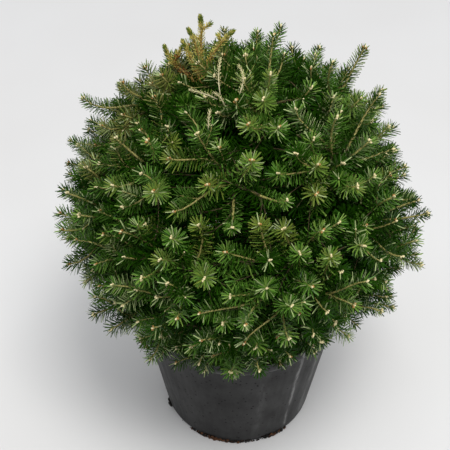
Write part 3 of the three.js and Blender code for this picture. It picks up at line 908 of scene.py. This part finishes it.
def tube_arrays(points, radii, sides, relief=None):
    """Vertices and faces of a closed tube round a line of points."""
    headings, across, other = frames_along(points)
    angle = 2 * math.pi * np.arange(sides) / sides
    radius = np.broadcast_to(np.asarray(radii)[:, None], (len(points), sides))
    if relief is not None:
        radius = radius + relief(angle)
    rings = (points[:, None] + across[:, None] * (radius * np.cos(angle))[..., None]
             + other[:, None] * (radius * np.sin(angle))[..., None])
    vertices = np.vstack([rings.reshape(-1, 3), points[:1], points[-1:]])
    return (vertices, *closed_faces(len(points), sides))


def joined_mesh(name, parts, materials):
    """One object from several (vertices, quads, triangles, slot) parts."""
    vertices, faces, first = [], [], 0
    for part_vertices, quads, triangles, slot in parts:
        vertices.append(part_vertices)
        faces += [(quads + first, slot), (triangles + first, slot)]
        first += len(part_vertices)
    return build_mesh(name, np.vstack(vertices), [f for f in faces if len(f[0])], materials)


# ---------------------------------------------------------------- materials


# Pale streaks down the pot's wall: azimuth, half width in degrees and how strongly they show.
# Those at 142, 125 and -116 degrees are painted highlights by the wall's dents, the rest rub marks.
STREAKS = [
    (142, 2.2, 1.3),
    (125, 5.0, 0.6),
    (-116, 2.0, 0.6),
    (166, 5.0, 0.16),
    (-40, 2.4, 0.6),
    (24, 3.0, 0.4),
    (78, 1.8, 0.7),
]
STREAK_WAVE = 0.05              # how far they wander, in radians
# Edges of the pot's band, pale as painted highlights along them: height and half width.
EDGES = [(BAND_FOOT + 2 * MM, 3 * MM), (POT_HEIGHT, 4 * MM)]


def new_material(name, colour, roughness, specular=0.5):
    material = bpy.data.materials.new(name)
    material.use_nodes = True
    shader = material.node_tree.nodes["Principled BSDF"]
    shader.inputs["Base Color"].default_value = (*colour, 1)
    shader.inputs["Roughness"].default_value = roughness
    shader.inputs["Specular IOR Level"].default_value = specular
    material.diffuse_color = (*colour, 1)
    return material


class Nodes:
    """Short ways to add nodes to a material, or to the world."""

    def __init__(self, owner, shader="Principled BSDF", place="Object"):
        self.tree = owner.node_tree
        self.shader = self.tree.nodes[shader]
        self.place = self.node("TexCoord").outputs[place]

    def link(self, source, target):
        self.tree.links.new(source, target)

    def feed(self, target, value):
        """Links another node's output to an input, or sets the input's own value."""
        if isinstance(value, bpy.types.NodeSocket):
            self.link(value, target)
        else:
            target.default_value = value

    def node(self, kind, **inputs):
        made = self.tree.nodes.new(f"ShaderNode{kind}")
        for name, value in inputs.items():
            self.feed(made.inputs[name], value)
        return made

    def stretched(self, scale):
        return self.node("Mapping", Vector=self.place, Scale=scale).outputs["Vector"]

    def noise(self, scale, detail=4, roughness=0.6, vector=None):
        place = vector or self.place
        noise = self.node("TexNoise", Vector=place, Scale=scale, Detail=detail, Roughness=roughness)
        return noise.outputs["Fac"]

    def cells(self, scale):
        return self.node("TexVoronoi", Vector=self.place, Scale=scale).outputs["Distance"]

    def ramp(self, source, stops):
        """stops are pairs of a place from 0 to 1 and a grey value or a colour."""
        ramp = self.node("ValToRGB", Fac=source)
        elements = ramp.color_ramp.elements
        while len(elements) < len(stops):
            elements.new(0.5)
        for element, (position, value) in zip(elements, stops):
            element.position = position
            colour = (value,) * 3 if isinstance(value, (int, float)) else value
            element.color = (*colour, 1)
        return ramp.outputs["Color"]

    def mix(self, factor, first, second, blend="MIX"):
        mix = self.node("Mix")
        mix.data_type = "RGBA"
        mix.blend_type = blend
        self.feed(mix.inputs["Factor"], factor)
        self.feed(mix.inputs["A"], first)
        self.feed(mix.inputs["B"], second)
        return mix.outputs["Result"]

    def math(self, operation, *values):
        node = self.node("Math")
        node.operation = operation
        for target, value in zip(node.inputs, values):
            self.feed(target, value)
        return node.outputs["Value"]

    def axis(self, name):
        return self.node("SeparateXYZ", Vector=self.place).outputs[name]

    def near(self, gap, half_width):
        """1 where a gap is nothing, falling to 0 where it is half_width either way."""
        share = self.math("DIVIDE", self.math("ABSOLUTE", gap), half_width)
        return self.math("MAXIMUM", self.math("SUBTRACT", 1.0, share), 0.0)

    def streaks(self, places):
        """How strongly upright streaks show, each wavy and broken in places."""
        azimuth = self.math("ARCTAN2", self.axis("X"), self.axis("Y"))
        wave = self.math("SUBTRACT", self.noise(1, 3, 0.5, self.stretched((3, 3, 24))), 0.5)
        total = 0.0
        for middle, half_width, strength in places:
            gap = self.math("SUBTRACT", azimuth, math.radians(middle))
            gap = self.math("MULTIPLY_ADD", wave, STREAK_WAVE, gap)
            here = self.near(gap, math.radians(half_width))
            total = self.math("MULTIPLY_ADD", here, strength, total)
        streak_breaks = self.noise(1, 4, 0.7, self.stretched((60, 60, 16)))
        return self.math("MULTIPLY", total, self.ramp(streak_breaks, [(0.44, 0.1), (0.6, 1.0)]))

    def rings(self, places):
        """How strongly level rings show, broken in patches."""
        total = 0.0
        for height, half_width in places:
            gap = self.math("SUBTRACT", self.axis("Z"), height)
            total = self.math("ADD", self.near(gap, half_width), total)
        ring_breaks = self.ramp(self.noise(30, 4, 0.7), [(0.40, 0.1), (0.65, 0.5)])
        return self.math("MULTIPLY", total, ring_breaks)

    def bump(self, height, strength, distance, under=None):
        bump = self.node("Bump", Height=height, Strength=strength, Distance=distance)
        if under is not None:
            self.link(under, bump.inputs["Normal"])
        return bump.outputs["Normal"]

    def dress(self, colour, normal=None, roughness=None):
        """Gives the shader its colour, and its normal and roughness where they vary."""
        for name, value in (("Base Color", colour), ("Normal", normal), ("Roughness", roughness)):
            if value is not None:
                self.link(value, self.shader.inputs[name])


def needle_materials():
    return [
        new_material(name, colour, NEEDLE_ROUGHNESS, DULL_NEEDLES.get(name, NEEDLE_SHEEN))
        for name, colour in NEEDLE_COLOURS.items()
    ]


def plastic_material():
    """Dull black plastic: clouded, specked, scuffed, pale in streaks that are partly rub marks and
    partly painted highlights, and pale at its edges as painted highlights.
    """
    material = new_material("pot_plastic", (0.033, 0.033, 0.033), 0.45, specular=0.06)
    nodes = Nodes(material)
    cloud = nodes.noise(14, 5)
    grime = nodes.ramp(cloud, [(0.35, 0.023), (0.7, 0.044)])
    dark = nodes.ramp(cloud, [(0, (0.002, 0.002, 0.002)), (1, (0.004, 0.003, 0.003))])
    # The pale tone of the streaks and edges: rub marks, and painted highlights.
    rubbed_and_highlight = nodes.ramp(cloud, [(0, (0.15, 0.15, 0.15)), (1, (0.24, 0.24, 0.235))])
    patches = nodes.ramp(nodes.noise(22, 2), [(0.36, 0.0), (0.50, 1.0)])
    specks = nodes.ramp(nodes.cells(85), [(0.14, 1.0), (0.20, 0.0)])
    specks = nodes.mix(1.0, specks, patches, "MULTIPLY")
    wear_and_highlights = nodes.math("MAXIMUM", nodes.streaks(STREAKS), nodes.rings(EDGES))
    tone = nodes.mix(wear_and_highlights, nodes.mix(specks, grime, dark), rubbed_and_highlight)
    scuffs = nodes.noise(1, 6, 0.7, nodes.stretched((90, 90, 7)))
    roughness = nodes.ramp(scuffs, [(0.3, 0.33), (0.75, 0.56)])
    soft = nodes.bump(nodes.noise(26, 3), 0.25, 1.2 * MM)
    nodes.dress(tone, nodes.bump(scuffs, 0.12, 0.4 * MM, soft), roughness)
    return material


def peat_material(name, dark, middle, light):
    material = new_material(name, middle, 0.93)
    nodes = Nodes(material)
    crumbs = nodes.noise(420, 6, 0.7)
    tone = nodes.ramp(crumbs, [(0.3, dark), (0.55, middle), (0.8, light)])
    nodes.dress(tone, nodes.bump(crumbs, 0.8, 1.5 * MM))
    return material


def bark_material(name, dark, light, grain, roughness=0.85):
    material = new_material(name, light, roughness)
    nodes = Nodes(material)
    long_grain = nodes.noise(1, 6, 0.65, nodes.stretched((grain, grain, grain * 0.3)))
    tone = nodes.ramp(long_grain, [(0.3, dark), (0.7, light)])
    scars = nodes.ramp(nodes.cells(grain * 1.1), [(0.05, 0.55), (0.3, 1.0)])
    tone = nodes.mix(1.0, tone, scars, "MULTIPLY")
    nodes.dress(tone, nodes.bump(long_grain, 0.6, 0.8 * MM))
    return material


def bud_material(name, dark, light):
    material = new_material(name, light, 0.34)
    nodes = Nodes(material)
    scales = nodes.noise(700, 3)
    nodes.dress(nodes.ramp(scales, [(0.35, dark), (0.6, light)]), nodes.bump(scales, 0.4, 0.4 * MM))
    return material


# ---------------------------------------------------------------- pot


POT_SIDES = 144
WALL_RINGS = 44
DENTS_START = (12 * MM, 70 * MM)        # heights between which the dents deepen from nothing,
DENTS_END = (190 * MM, BAND_FOOT)       # and between which they fade out again
# Long shallow dents pressed into the wall: azimuth and half width in degrees, and depth, which
# is negative where the wall bulges.
DENTS = [
    (138.5, 3.2, 2.2 * MM),
    (129.0, 3.4, -1.0 * MM),
    (-117.0, 3.0, 1.2 * MM),
    (163.0, 5.0, 0.5 * MM),
    (-150.0, 6.0, -0.5 * MM),
    (20.0, 4.0, 1.0 * MM),
    (75.0, 5.0, -0.8 * MM),
    (-40.0, 4.0, 0.9 * MM),
]


def wall_radius(height):
    return between((FOOT_RADIUS, WALL_TOP_RADIUS), height / BAND_FOOT)


def dented(radius, height, azimuth):
    """The wall's radius with its dents."""
    fade = smoothstep(height, *DENTS_START) * (1 - smoothstep(height, *DENTS_END))
    change = np.zeros_like(azimuth)
    for middle, half_width, depth in DENTS:
        gap = (azimuth - middle + 180) % 360 - 180
        change -= depth * np.exp(-((gap / half_width) ** 2))
    return radius + change * fade


def lathe(profile, sides, shape=None):
    """A closed turned body. The profile starts and ends on the axis."""
    profile = np.array(profile, float)
    azimuth = 360 * np.arange(sides) / sides
    inner = profile[1:-1]
    radius = np.repeat(inner[:, :1], sides, axis=1)
    if shape is not None:
        radius = np.array([shape(r, z, azimuth) for (_, z), r in zip(inner, radius)])
    turn = np.radians(azimuth)
    rings = np.stack([radius * np.sin(turn), radius * np.cos(turn),
                      np.repeat(inner[:, 1:], sides, axis=1)], axis=-1)
    ends = np.array([[0, 0, profile[0, 1]], [0, 0, profile[-1, 1]]])
    quads, caps = closed_faces(len(inner), sides)
    outward = (quads[:, [1, 0, 3, 2]], caps[:, [1, 0, 2]])
    return (np.vstack([rings.reshape(-1, 3), ends]), *outward)


def pot_piece(material):
    """The pot's shell, turned from its profile: foot, wall, band and lip, then down inside."""
    wall = np.linspace(FOOT_ROUNDING + 3 * MM, BAND_FOOT - 4 * MM, WALL_RINGS)
    rounding = [
        (FOOT_RADIUS - FOOT_ROUNDING * (1 - math.sin(turn)), FOOT_ROUNDING * (1 - math.cos(turn)))
        for turn in np.linspace(0, math.pi / 2 * 0.9, 5)
    ]
    band = MOUTH_RADIUS - BAND_FLARE
    profile = [(0, 0), *rounding]
    profile += [(wall_radius(height), height) for height in wall]
    profile += [
        (WALL_TOP_RADIUS, BAND_FOOT - 0.5 * MM),
        (band - 0.8 * MM, BAND_FOOT),
        (band, BAND_FOOT + 1 * MM),
        (band + BAND_FLARE * 0.5, BAND_FOOT + BAND_HEIGHT * 0.5),
        (MOUTH_RADIUS - 0.2 * MM, POT_HEIGHT - 1 * MM),
        (MOUTH_RADIUS - 0.8 * MM, POT_HEIGHT),
        (MOUTH_RADIUS - POT_WALL + 0.6 * MM, POT_HEIGHT),
        (MOUTH_RADIUS - POT_WALL, POT_HEIGHT - 1 * MM),
        (band - POT_WALL, BAND_FOOT + 3 * MM),
    ]
    profile += [(wall_radius(height) - POT_WALL, height) for height in wall[::-1]]
    profile += [(wall_radius(POT_FLOOR) - POT_WALL, POT_FLOOR), (0, POT_FLOOR)]
    vertices, quads, caps = lathe(profile, POT_SIDES, dented)
    shell = build_mesh("pot_shell", vertices, [(quads, 0), (caps, 0)], [material])
    cut_drain_slots(shell)
    return shell


def cut_drain_slots(shell):
    half = np.array([10 * MM, DRAIN_SLOT_WIDTH / 2, DRAIN_SLOT_HEIGHT / 2])
    corners = np.array([[x, y, z] for x in (-1, 1) for y in (-1, 1) for z in (-1, 1)]) * half
    corners += [FOOT_RADIUS, 0, DRAIN_SLOT_MIDDLE]
    sides = np.array([[0, 1, 3, 2], [4, 6, 7, 5], [0, 4, 5, 1], [2, 3, 7, 6], [0, 2, 6, 4],
                      [1, 5, 7, 3]])
    vertices, faces = [], []
    for i in range(DRAIN_SLOTS):
        turn = 2 * math.pi * (i + 0.5) / DRAIN_SLOTS
        spin = np.array([[math.cos(turn), -math.sin(turn), 0],
                         [math.sin(turn), math.cos(turn), 0], [0, 0, 1]])
        vertices.append(corners @ spin.T)
        faces.append((sides + 8 * i, 0))
    cutter = build_mesh("slot_cutter", np.vstack(vertices), faces, [], smooth=False)
    cut = shell.modifiers.new("slots", "BOOLEAN")
    cut.operation = "DIFFERENCE"
    cut.solver = "EXACT"
    cut.object = cutter
    bpy.context.view_layer.update()
    evaluated = shell.evaluated_get(bpy.context.evaluated_depsgraph_get())
    finished = bpy.data.meshes.new_from_object(evaluated)
    shell.modifiers.clear()
    shell.data = finished
    bpy.data.objects.remove(cutter)


# ---------------------------------------------------------------- peat


# Crumbs round the pot's foot: middle azimuth, half spread, how many, their largest size, how high
# up they cling, and whether they are dry (0) or wet (1). A wide patch and a narrow one in front, a
# clump at the left, a few at the slots behind, and a fine dark line all along the front, partly
# crumbs and partly painted contact shadow under the foot.
CRUMB_PATCHES = [
    (-166, 22, 170, 3.2 * MM, 8 * MM, 0),
    (150, 9, 80, 3.2 * MM, 9 * MM, 0),
    (-111, 2, 16, 4.2 * MM, 20 * MM, 1),
    (22.5, 9, 24, 2.4 * MM, 8 * MM, 0),
    (-67.5, 7, 18, 2.4 * MM, 8 * MM, 0),
    (67.5, 7, 18, 2.4 * MM, 8 * MM, 0),
    (-175, 42, 130, 1.8 * MM, 4 * MM, 1),
]
SMALLEST_CRUMB = 0.9 * MM
CRUMB_FALL = 1.6                # power by which most crumbs are small and low
CRUMB_STAND = 0.4               # how far crumbs stand off pot and floor, as a share of their size
WET_SHARE = 0.45                # share of the crumbs in a dry patch that are wet

PEAT_SIDES = 96
PEAT_GAP = 0.5 * MM             # between the peat and the pot's wall
PEAT_SHOULDER = 5 * MM          # how far below the top its side ends
PEAT_SETTLED = 2 * MM           # and how far below it the surface lies, before its lumps
PEAT_LUMPS = (-3 * MM, 2 * MM)  # least and most that those lower or raise it


def lumps(points, seed, scale):
    """Smooth repeatable noise in about -1 to 1, a sum of a few waves."""
    total = np.zeros(len(points))
    for i in range(5):
        heading = direction_of(360 * chance(seed + i), 90 * (chance(seed + i + 0.5) * 2 - 1))
        pitch = scale * (0.7 + 1.1 * chance(seed + i + 0.25))
        total += np.sin(points @ heading * pitch + 6.28 * chance(seed + i + 0.75))
    return total / 3


def root_ball_piece(material):
    """The peat in the pot, with its surface and its side in lumps."""
    inset = POT_WALL + PEAT_GAP
    foot = POT_FLOOR + CLEARANCE
    rim = SOIL_HEIGHT - PEAT_SHOULDER
    level = SOIL_HEIGHT - PEAT_SETTLED
    side = np.linspace(foot, rim, 18)
    top = np.linspace(wall_radius(rim) - inset, TRUNK_FLARE_RADIUS * 0.5, 34)
    profile = [(0, foot), (wall_radius(foot) - inset - 2 * MM, foot)]
    profile += [(wall_radius(height) - inset, height) for height in side]
    profile += [(radius, level) for radius in top[1:]] + [(0, level)]
    vertices, quads, caps = lathe(profile, PEAT_SIDES)
    surface = vertices[:, 2] > level - 1 * MM
    rough = lumps(vertices, 11, 70) * 1.4 * MM + lumps(vertices, 23, 260) * 1.0 * MM
    vertices[surface, 2] += np.clip(rough[surface], *PEAT_LUMPS)
    width = np.hypot(vertices[:, 0], vertices[:, 1])
    shrink = 1 - np.clip(rough, 0, PEAT_LUMPS[1]) / np.maximum(width, 50 * MM)
    vertices[~surface, :2] *= shrink[~surface, None]
    return build_mesh("peat_root_ball", vertices, [(quads, 0), (caps, 0)], [material])


def clod_arrays(place, size, seed):
    """A small angular crumb."""
    golden = (1 + math.sqrt(5)) / 2
    corners = unit(np.array([
        [-1, golden, 0], [1, golden, 0], [-1, -golden, 0], [1, -golden, 0],
        [0, -1, golden], [0, 1, golden], [0, -1, -golden], [0, 1, -golden],
        [golden, 0, -1], [golden, 0, 1], [-golden, 0, -1], [-golden, 0, 1],
    ], float))
    faces = np.array([
        [0, 11, 5], [0, 5, 1], [0, 1, 7], [0, 7, 10], [0, 10, 11], [1, 5, 9], [5, 11, 4],
        [11, 10, 2], [10, 7, 6], [7, 1, 8], [3, 9, 4], [3, 4, 2], [3, 2, 6], [3, 6, 8],
        [3, 8, 9], [4, 9, 5], [2, 4, 11], [6, 2, 10], [8, 6, 7], [9, 8, 1],
    ])
    stretch = 0.6 + 0.8 * chance(seed + np.array([0.1, 0.2, 0.3]))
    bumps = 0.65 + 0.7 * chance(seed * 3.3 + np.arange(12))
    vertices = corners * bumps[:, None] * stretch * size
    vertices = vertices + place
    vertices[:, 2] = np.maximum(vertices[:, 2], 0.1 * MM)
    return vertices, faces


def peat_crumbs_piece(materials):
    """Crumbs that have worked out of the drain slots and cling round the pot's foot; the fine dark
    line in front is also painted contact shadow.
    """
    parts = []
    for patch, (middle, spread, count, largest, top, slot) in enumerate(CRUMB_PATCHES):
        for j in range(count):
            seed = patch * 101 + j * 1.7
            azimuth = middle + (chance(seed) + chance(seed + 0.4) - 1) * spread * 1.2
            height = chance(seed + 0.7) ** CRUMB_FALL * top
            size = between((SMALLEST_CRUMB, largest), chance(seed + 0.9) ** CRUMB_FALL)
            radius = max(wall_radius(height), FOOT_RADIUS - 2 * MM) + size * CRUMB_STAND
            place = radius * direction_of(azimuth, 0) + UP * (height + size * CRUMB_STAND)
            vertices, faces = clod_arrays(place, size, seed + 50)
            wet = 1 if chance(seed + 0.35) < WET_SHARE else slot
            parts.append((vertices, np.zeros((0, 4), int), faces, wet))
    return joined_mesh("peat_crumbs", parts, materials)


# ---------------------------------------------------------------- trunk and boughs


def trunk_knots():
    return np.array([
        [0, 0, SOIL_HEIGHT + CLEARANCE],
        [0.5 * MM, 1 * MM, SOIL_HEIGHT + 40 * MM],
        [4 * MM, 3 * MM, 385 * MM],
        [7 * MM, 2 * MM, 460 * MM],
        CROWN_CENTRE,
        from_centre(TOP.direction, BOUGH_END - CLEARANCE),
    ])


TRUNK_KNOTS = trunk_knots()
TRUNK_POINTS = 150
TRUNK_SIDES = 40
LIMB_POINTS = 26                # along a bough,
STEM_POINTS = 9                 # and along the stem that it runs on into
LIMB_SIDES = 14


def trunk_radius(height):
    rise = height - SOIL_HEIGHT
    tip_rise = CROWN_CENTRE[2] + BOUGH_END - SOIL_HEIGHT
    flare = (TRUNK_FLARE_RADIUS - TRUNK_RADIUS) * np.exp(-rise / FLARE_HEIGHT)
    return between((TRUNK_RADIUS, TRUNK_TIP_RADIUS), rise / tip_rise) + flare


def bark_relief(points, angle, seed, depth):
    """Low blisters and wrinkles across the bark."""
    around = np.stack(np.broadcast_arrays(
        np.cos(angle)[None] * 20 * MM, np.sin(angle)[None] * 20 * MM, points[:, 2:3] * 0.6,
    ), axis=-1)
    flat = around.reshape(-1, 3)
    height = lumps(flat, seed, 240) + 0.6 * lumps(flat, seed + 40, 640)
    return (height * depth).reshape(len(points), len(angle))


def trunk_arrays():
    points = spline(TRUNK_KNOTS, np.linspace(0, 1, TRUNK_POINTS))
    radii = trunk_radius(points[:, 2])
    fade = np.exp(-(points[:, 2] - SOIL_HEIGHT) / FLARE_HEIGHT)

    def relief(angle):
        lobes = LOBE_DEPTH * fade[:, None] * np.cos(FLARE_LOBES * angle)[None] * radii[:, None]
        return lobes + bark_relief(points, angle, 3, 0.7 * MM)

    return (*tube_arrays(points, radii, TRUNK_SIDES, relief), 0)


def bough_line(mass):
    """A bough's centreline, run on through the mass's stem to its fork."""
    trunk = spline(TRUNK_KNOTS, np.linspace(0, 1, 200))
    start = trunk[int(np.argmin(abs(trunk[:, 2] - mass.trunk_height)))]
    end = from_centre(mass.direction, BOUGH_END)
    level = unit(mass.direction * [1, 1, 0])
    corners = (start, start + level * BOUGH_RUN_OUT, end - mass.direction * BOUGH_RUN_IN, end)
    limb = bezier(corners, np.linspace(0, 1, LIMB_POINTS))
    stem = np.linspace(end, from_centre(mass.direction, FORK_AT), STEM_POINTS)[1:]
    return np.vstack([limb, stem])


def bough_arrays(mass, seed):
    points = bough_line(mass)
    radii = np.concatenate([
        np.linspace(BOUGH_FOOT_RADIUS, BOUGH_TIP_RADIUS, LIMB_POINTS),
        np.linspace(BOUGH_TIP_RADIUS, STEM_TIP_RADIUS, STEM_POINTS)[1:],
    ])

    def relief(angle):
        return bark_relief(points, angle, seed, 0.35 * MM)

    return (*tube_arrays(points, radii, LIMB_SIDES, relief), 0)


def top_stem_arrays():
    distances = between((BOUGH_END - CLEARANCE, FORK_AT), np.linspace(0, 1, STEM_POINTS))
    points = from_centre(TOP.direction, distances[:, None])
    radii = np.linspace(TRUNK_TIP_RADIUS, STEM_TIP_RADIUS, STEM_POINTS)
    return (*tube_arrays(points, radii, LIMB_SIDES), 0)


def wood_piece(material):
    limbs = [bough_arrays(mass, 60 + i) for i, mass in enumerate(MASSES) if mass is not TOP]
    return joined_mesh("trunk_and_boughs", [trunk_arrays(), *limbs, top_stem_arrays()], [material])


# ---------------------------------------------------------------- twigs and buds


OLD_TWIG, YOUNG_TWIG, GOLDEN_TWIG, PALE_TWIG = range(4)
TWIG_SLOTS = {
    "main": YOUNG_TWIG, "side": YOUNG_TWIG, "twin": YOUNG_TWIG,
    "inner": OLD_TWIG, "deep": OLD_TWIG, "golden": GOLDEN_TWIG, "pale": PALE_TWIG,
}
OLD_STEPS = 3                   # steps of old wood at the foot of a main shoot
MAIN_POINTS, TWIG_POINTS = 9, 6     # along main shoots and along others
FOOT_SIDES, TWIG_SIDES, SHADED_SIDES = 6, 5, 3

BUD_LENGTH = (5.2 * MM, 7.2 * MM)
BUD_WIDTH = 4.3 * MM
# How far along a bud, and how thick it is there against its width.
BUD_PROFILE = [(0.0, 0.5), (0.25, 0.95), (0.55, 1.0), (0.82, 0.62), (1.0, 0.15)]
BUD_SIZE = {"main": 1.1, "side": 1.0, "twin": 0.7}
BUD_SINK = 1.2 * MM             # how far buds sink into the tip
BUD_SPREAD = 0.75               # how far the buds beside the first lean over,
BUD_APART = 1.6 * MM            # stand off to its side,
SIDE_BUD = 0.85                 # and how long they are against it
BROWN_BUD_SHARE = 0.3           # share of the tips where those are brown
THREE_BUD_SHARE = 0.55          # share of the tips with three buds in place of two


def twig_piece(name, shoots, materials):
    """Twigs of the shoots. The materials are old wood, young wood, golden and bleached."""
    parts = []
    for shoot in shoots:
        shares = np.linspace(0, 1, MAIN_POINTS if shoot.kind == "main" else TWIG_POINTS)
        points = at_length(shoot, shares * shoot.length)
        radii = between(shoot.radii, shares)
        if shoot.kind == "main":
            foot = slice(0, OLD_STEPS + 1)
            parts.append((*tube_arrays(points[foot], radii[foot], FOOT_SIDES), OLD_TWIG))
            points, radii = points[OLD_STEPS:], radii[OLD_STEPS:]
        sides = SHADED_SIDES if shoot.kind in SHADED_KINDS else TWIG_SIDES
        parts.append((*tube_arrays(points, radii, sides), TWIG_SLOTS[shoot.kind]))
    return joined_mesh(name, parts, materials)


def bud_arrays(place, heading, length, width):
    """A plump pointed bud."""
    shares, girths = np.array(BUD_PROFILE).T
    points = place + heading * (shares * length)[:, None]
    return tube_arrays(points, girths * width / 2, TWIG_SIDES)


def bud_piece(shoots, materials):
    """Buds in twos and threes at the tips. The materials are resinous and brown buds."""
    parts = []
    for shoot in shoots:
        headings, sides, others = frames_along(shoot.points)
        heading = headings[-1]
        size = BUD_SIZE[shoot.kind]
        three = chance(shoot.seed + 0.9) > 1 - THREE_BUD_SHARE
        count = 1 if shoot.kind == "twin" else 2 + int(three)
        brown = int(chance(shoot.seed + 0.53) < BROWN_BUD_SHARE)
        for i in range(count):
            turn = 2 * math.pi * (i / 2 + 0.3 * chance(shoot.seed + 0.2))
            sideways = sides[-1] * math.cos(turn) + others[-1] * math.sin(turn)
            sideways *= BUD_SPREAD if i else 0
            place = shoot.points[-1] - heading * BUD_SINK + sideways * BUD_APART
            length = between(BUD_LENGTH, chance(shoot.seed * 1.3 + i * 0.17)) * size
            length *= SIDE_BUD if i else 1
            bud = bud_arrays(place, unit(heading + sideways), length, BUD_WIDTH * size)
            parts.append((*bud, brown if i else 0))
    return joined_mesh("buds", parts, materials)


# ---------------------------------------------------------------- the plant


def crumb_materials():
    dry = (0.025, 0.010, 0.005), (0.105, 0.041, 0.014), (0.27, 0.115, 0.04)
    # The darkest peat also serves as painted contact shadow, in the fine line along the pot's front
    # foot.
    wet = (0.003, 0.0025, 0.002), (0.008, 0.006, 0.004), (0.02, 0.014, 0.009)
    return [peat_material("peat_dry", *dry), peat_material("peat_wet", *wet)]


def twig_materials():
    return [
        bark_material("twig_old", (0.040, 0.030, 0.012), (0.11, 0.082, 0.030), 500),
        bark_material("twig_young", (0.24, 0.21, 0.055), (0.46, 0.41, 0.130), 600, 0.6),
        bark_material("twig_golden", (0.22, 0.13, 0.03), (0.44, 0.29, 0.08), 600, 0.6),
        bark_material("twig_bleached", (0.42, 0.36, 0.20), (0.66, 0.60, 0.40), 600, 0.6),
    ]


def bud_materials():
    return [
        bud_material("bud_resin", (0.60, 0.47, 0.20), (0.85, 0.77, 0.48)),
        bud_material("bud_brown", (0.22, 0.09, 0.02), (0.52, 0.27, 0.08)),
    ]


def add(piece, slot, *nodes):
    """A piece rides on the plant and replaces CAD nodes. The slot is not used."""
    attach(piece, "root")
    if nodes:
        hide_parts(*nodes)


def group_of(mass):
    """The group of masses whose needles are joined: half a tier, or the golden one alone."""
    if mass is GOLDEN:
        return "golden"
    if mass is TOP:
        return "high_b"
    number = int(mass.name.split("_")[1])
    first_half = number <= (3 if mass.tier == "high" else 4)
    return mass.tier + ("_a" if first_half else "_b")


def add_pot_and_wood():
    peat = peat_material("peat", (0.010, 0.006, 0.004), (0.045, 0.020, 0.009), (0.13, 0.055, 0.02))
    bark = bark_material("bark", (0.055, 0.035, 0.022), (0.17, 0.115, 0.07), 160)
    boughs = [f"bough_{mass.name}" for mass in MASSES if mass is not TOP]
    add(pot_piece(plastic_material()), "pot_plastic", "pot")
    add(root_ball_piece(peat), "peat", "root_ball")
    add(peat_crumbs_piece(crumb_materials()), "peat")
    add(wood_piece(bark), "bark", "trunk", *boughs)


def add_crown():
    mains = main_shoots()
    green = [shoot for shoot in mains if shoot.kind == "main"]
    clubs = [shoot for shoot in mains if shoot.kind == "golden"]
    sides = side_shoots(green)
    twins = twin_shoots(green + sides)
    shoots = mains + sides + twins + inner_shoots(green) + golden_forks(clubs) + pale_shoots()

    needles = needle_materials()
    for group in sorted({group_of(mass) for mass in MASSES}):
        members = [shoot for shoot in shoots if group_of(shoot.mass) == group]
        nodes = [f"foliage_{mass.name}" for mass in MASSES if group_of(mass) == group]
        slot = "needles_golden" if group == "golden" else "needles_green"
        add(needle_mesh(f"needles_{group}", members, needles), slot, *nodes)

    twigs = twig_materials()
    for tiers in (("low",), ("mid",), ("high", "golden")):
        members = [shoot for shoot in shoots if shoot.mass.tier in tiers]
        add(twig_piece(f"twigs_{tiers[0]}", members, twigs), "bark")
    add(bud_piece(green + sides + twins, bud_materials()), "bark")


add_pot_and_wood()
add_crown()

# ---------------------------------------------------------------- stage, light, camera

FLOOR_REACH = 40.0

KEY_PLACE = (0.6, -1.5, 4.4)
KEY_TARGET = (0, 0, 0.4)
KEY_SIZE = 1.6
KEY_POWER = 122

HORIZON_LIGHT = 0.16
OVERHEAD_LIGHT = 1.1
RIGHT_LIGHT = 0.12              # how much brighter the dome is at the right, and darker at the left

CAMERA_PLACE = (-0.0268, -1.422, 1.740)
CAMERA_TILT = 41.9              # degrees below level
CAMERA_LENS = 82.2              # millimetres on a 36 mm wide frame


def add_floor():
    material = new_material("studio_floor", (0.71, 0.71, 0.71), 0.75)
    nodes = Nodes(material)
    tones = [(0.3, (0.70, 0.697, 0.692)), (0.7, (0.73, 0.73, 0.73))]
    nodes.dress(nodes.ramp(nodes.noise(1.6, 2), tones))
    corners = np.array([[-1, -1, 0], [1, -1, 0], [1, 1, 0], [-1, 1, 0]]) * FLOOR_REACH
    build_mesh("studio_floor", corners, [(np.array([[0, 1, 2, 3]]), 0)], [material])


def add_key_light():
    light = bpy.data.lights.new("key", "AREA")
    light.shape = "SQUARE"
    light.size = KEY_SIZE
    light.energy = KEY_POWER
    light.color = (1.0, 0.985, 0.96)
    lamp = link_object("key", light)
    heading = np.array(KEY_TARGET) - KEY_PLACE
    rise = math.atan2(math.hypot(heading[0], heading[1]), -heading[2])
    lamp.location = KEY_PLACE
    lamp.rotation_euler = (rise, 0, math.atan2(-heading[0], heading[1]))


def add_dome_light():
    """A soft dome of light, brighter overhead than level."""
    world = bpy.data.worlds.new("studio")
    world.use_nodes = True
    nodes = Nodes(world, "Background", "Generated")
    nodes.shader.inputs["Color"].default_value = (0.97, 0.98, 1.0, 1)
    rise = nodes.node("MapRange", Value=nodes.axis("Z"))
    rise.inputs["To Min"].default_value = HORIZON_LIGHT
    rise.inputs["To Max"].default_value = OVERHEAD_LIGHT
    strength = nodes.math("MULTIPLY_ADD", nodes.axis("X"), RIGHT_LIGHT, rise.outputs["Result"])
    nodes.link(strength, nodes.shader.inputs["Strength"])
    bpy.context.scene.world = world


def add_camera():
    data = bpy.data.cameras.new("camera")
    data.lens = CAMERA_LENS
    data.sensor_width = 36
    camera = link_object("camera", data)
    camera.location = CAMERA_PLACE
    camera.rotation_euler = (math.radians(90 - CAMERA_TILT), 0, 0)
    bpy.context.scene.camera = camera


add_floor()
add_key_light()
add_dome_light()
add_camera()
bpy.context.scene.view_settings.view_transform = "Standard"
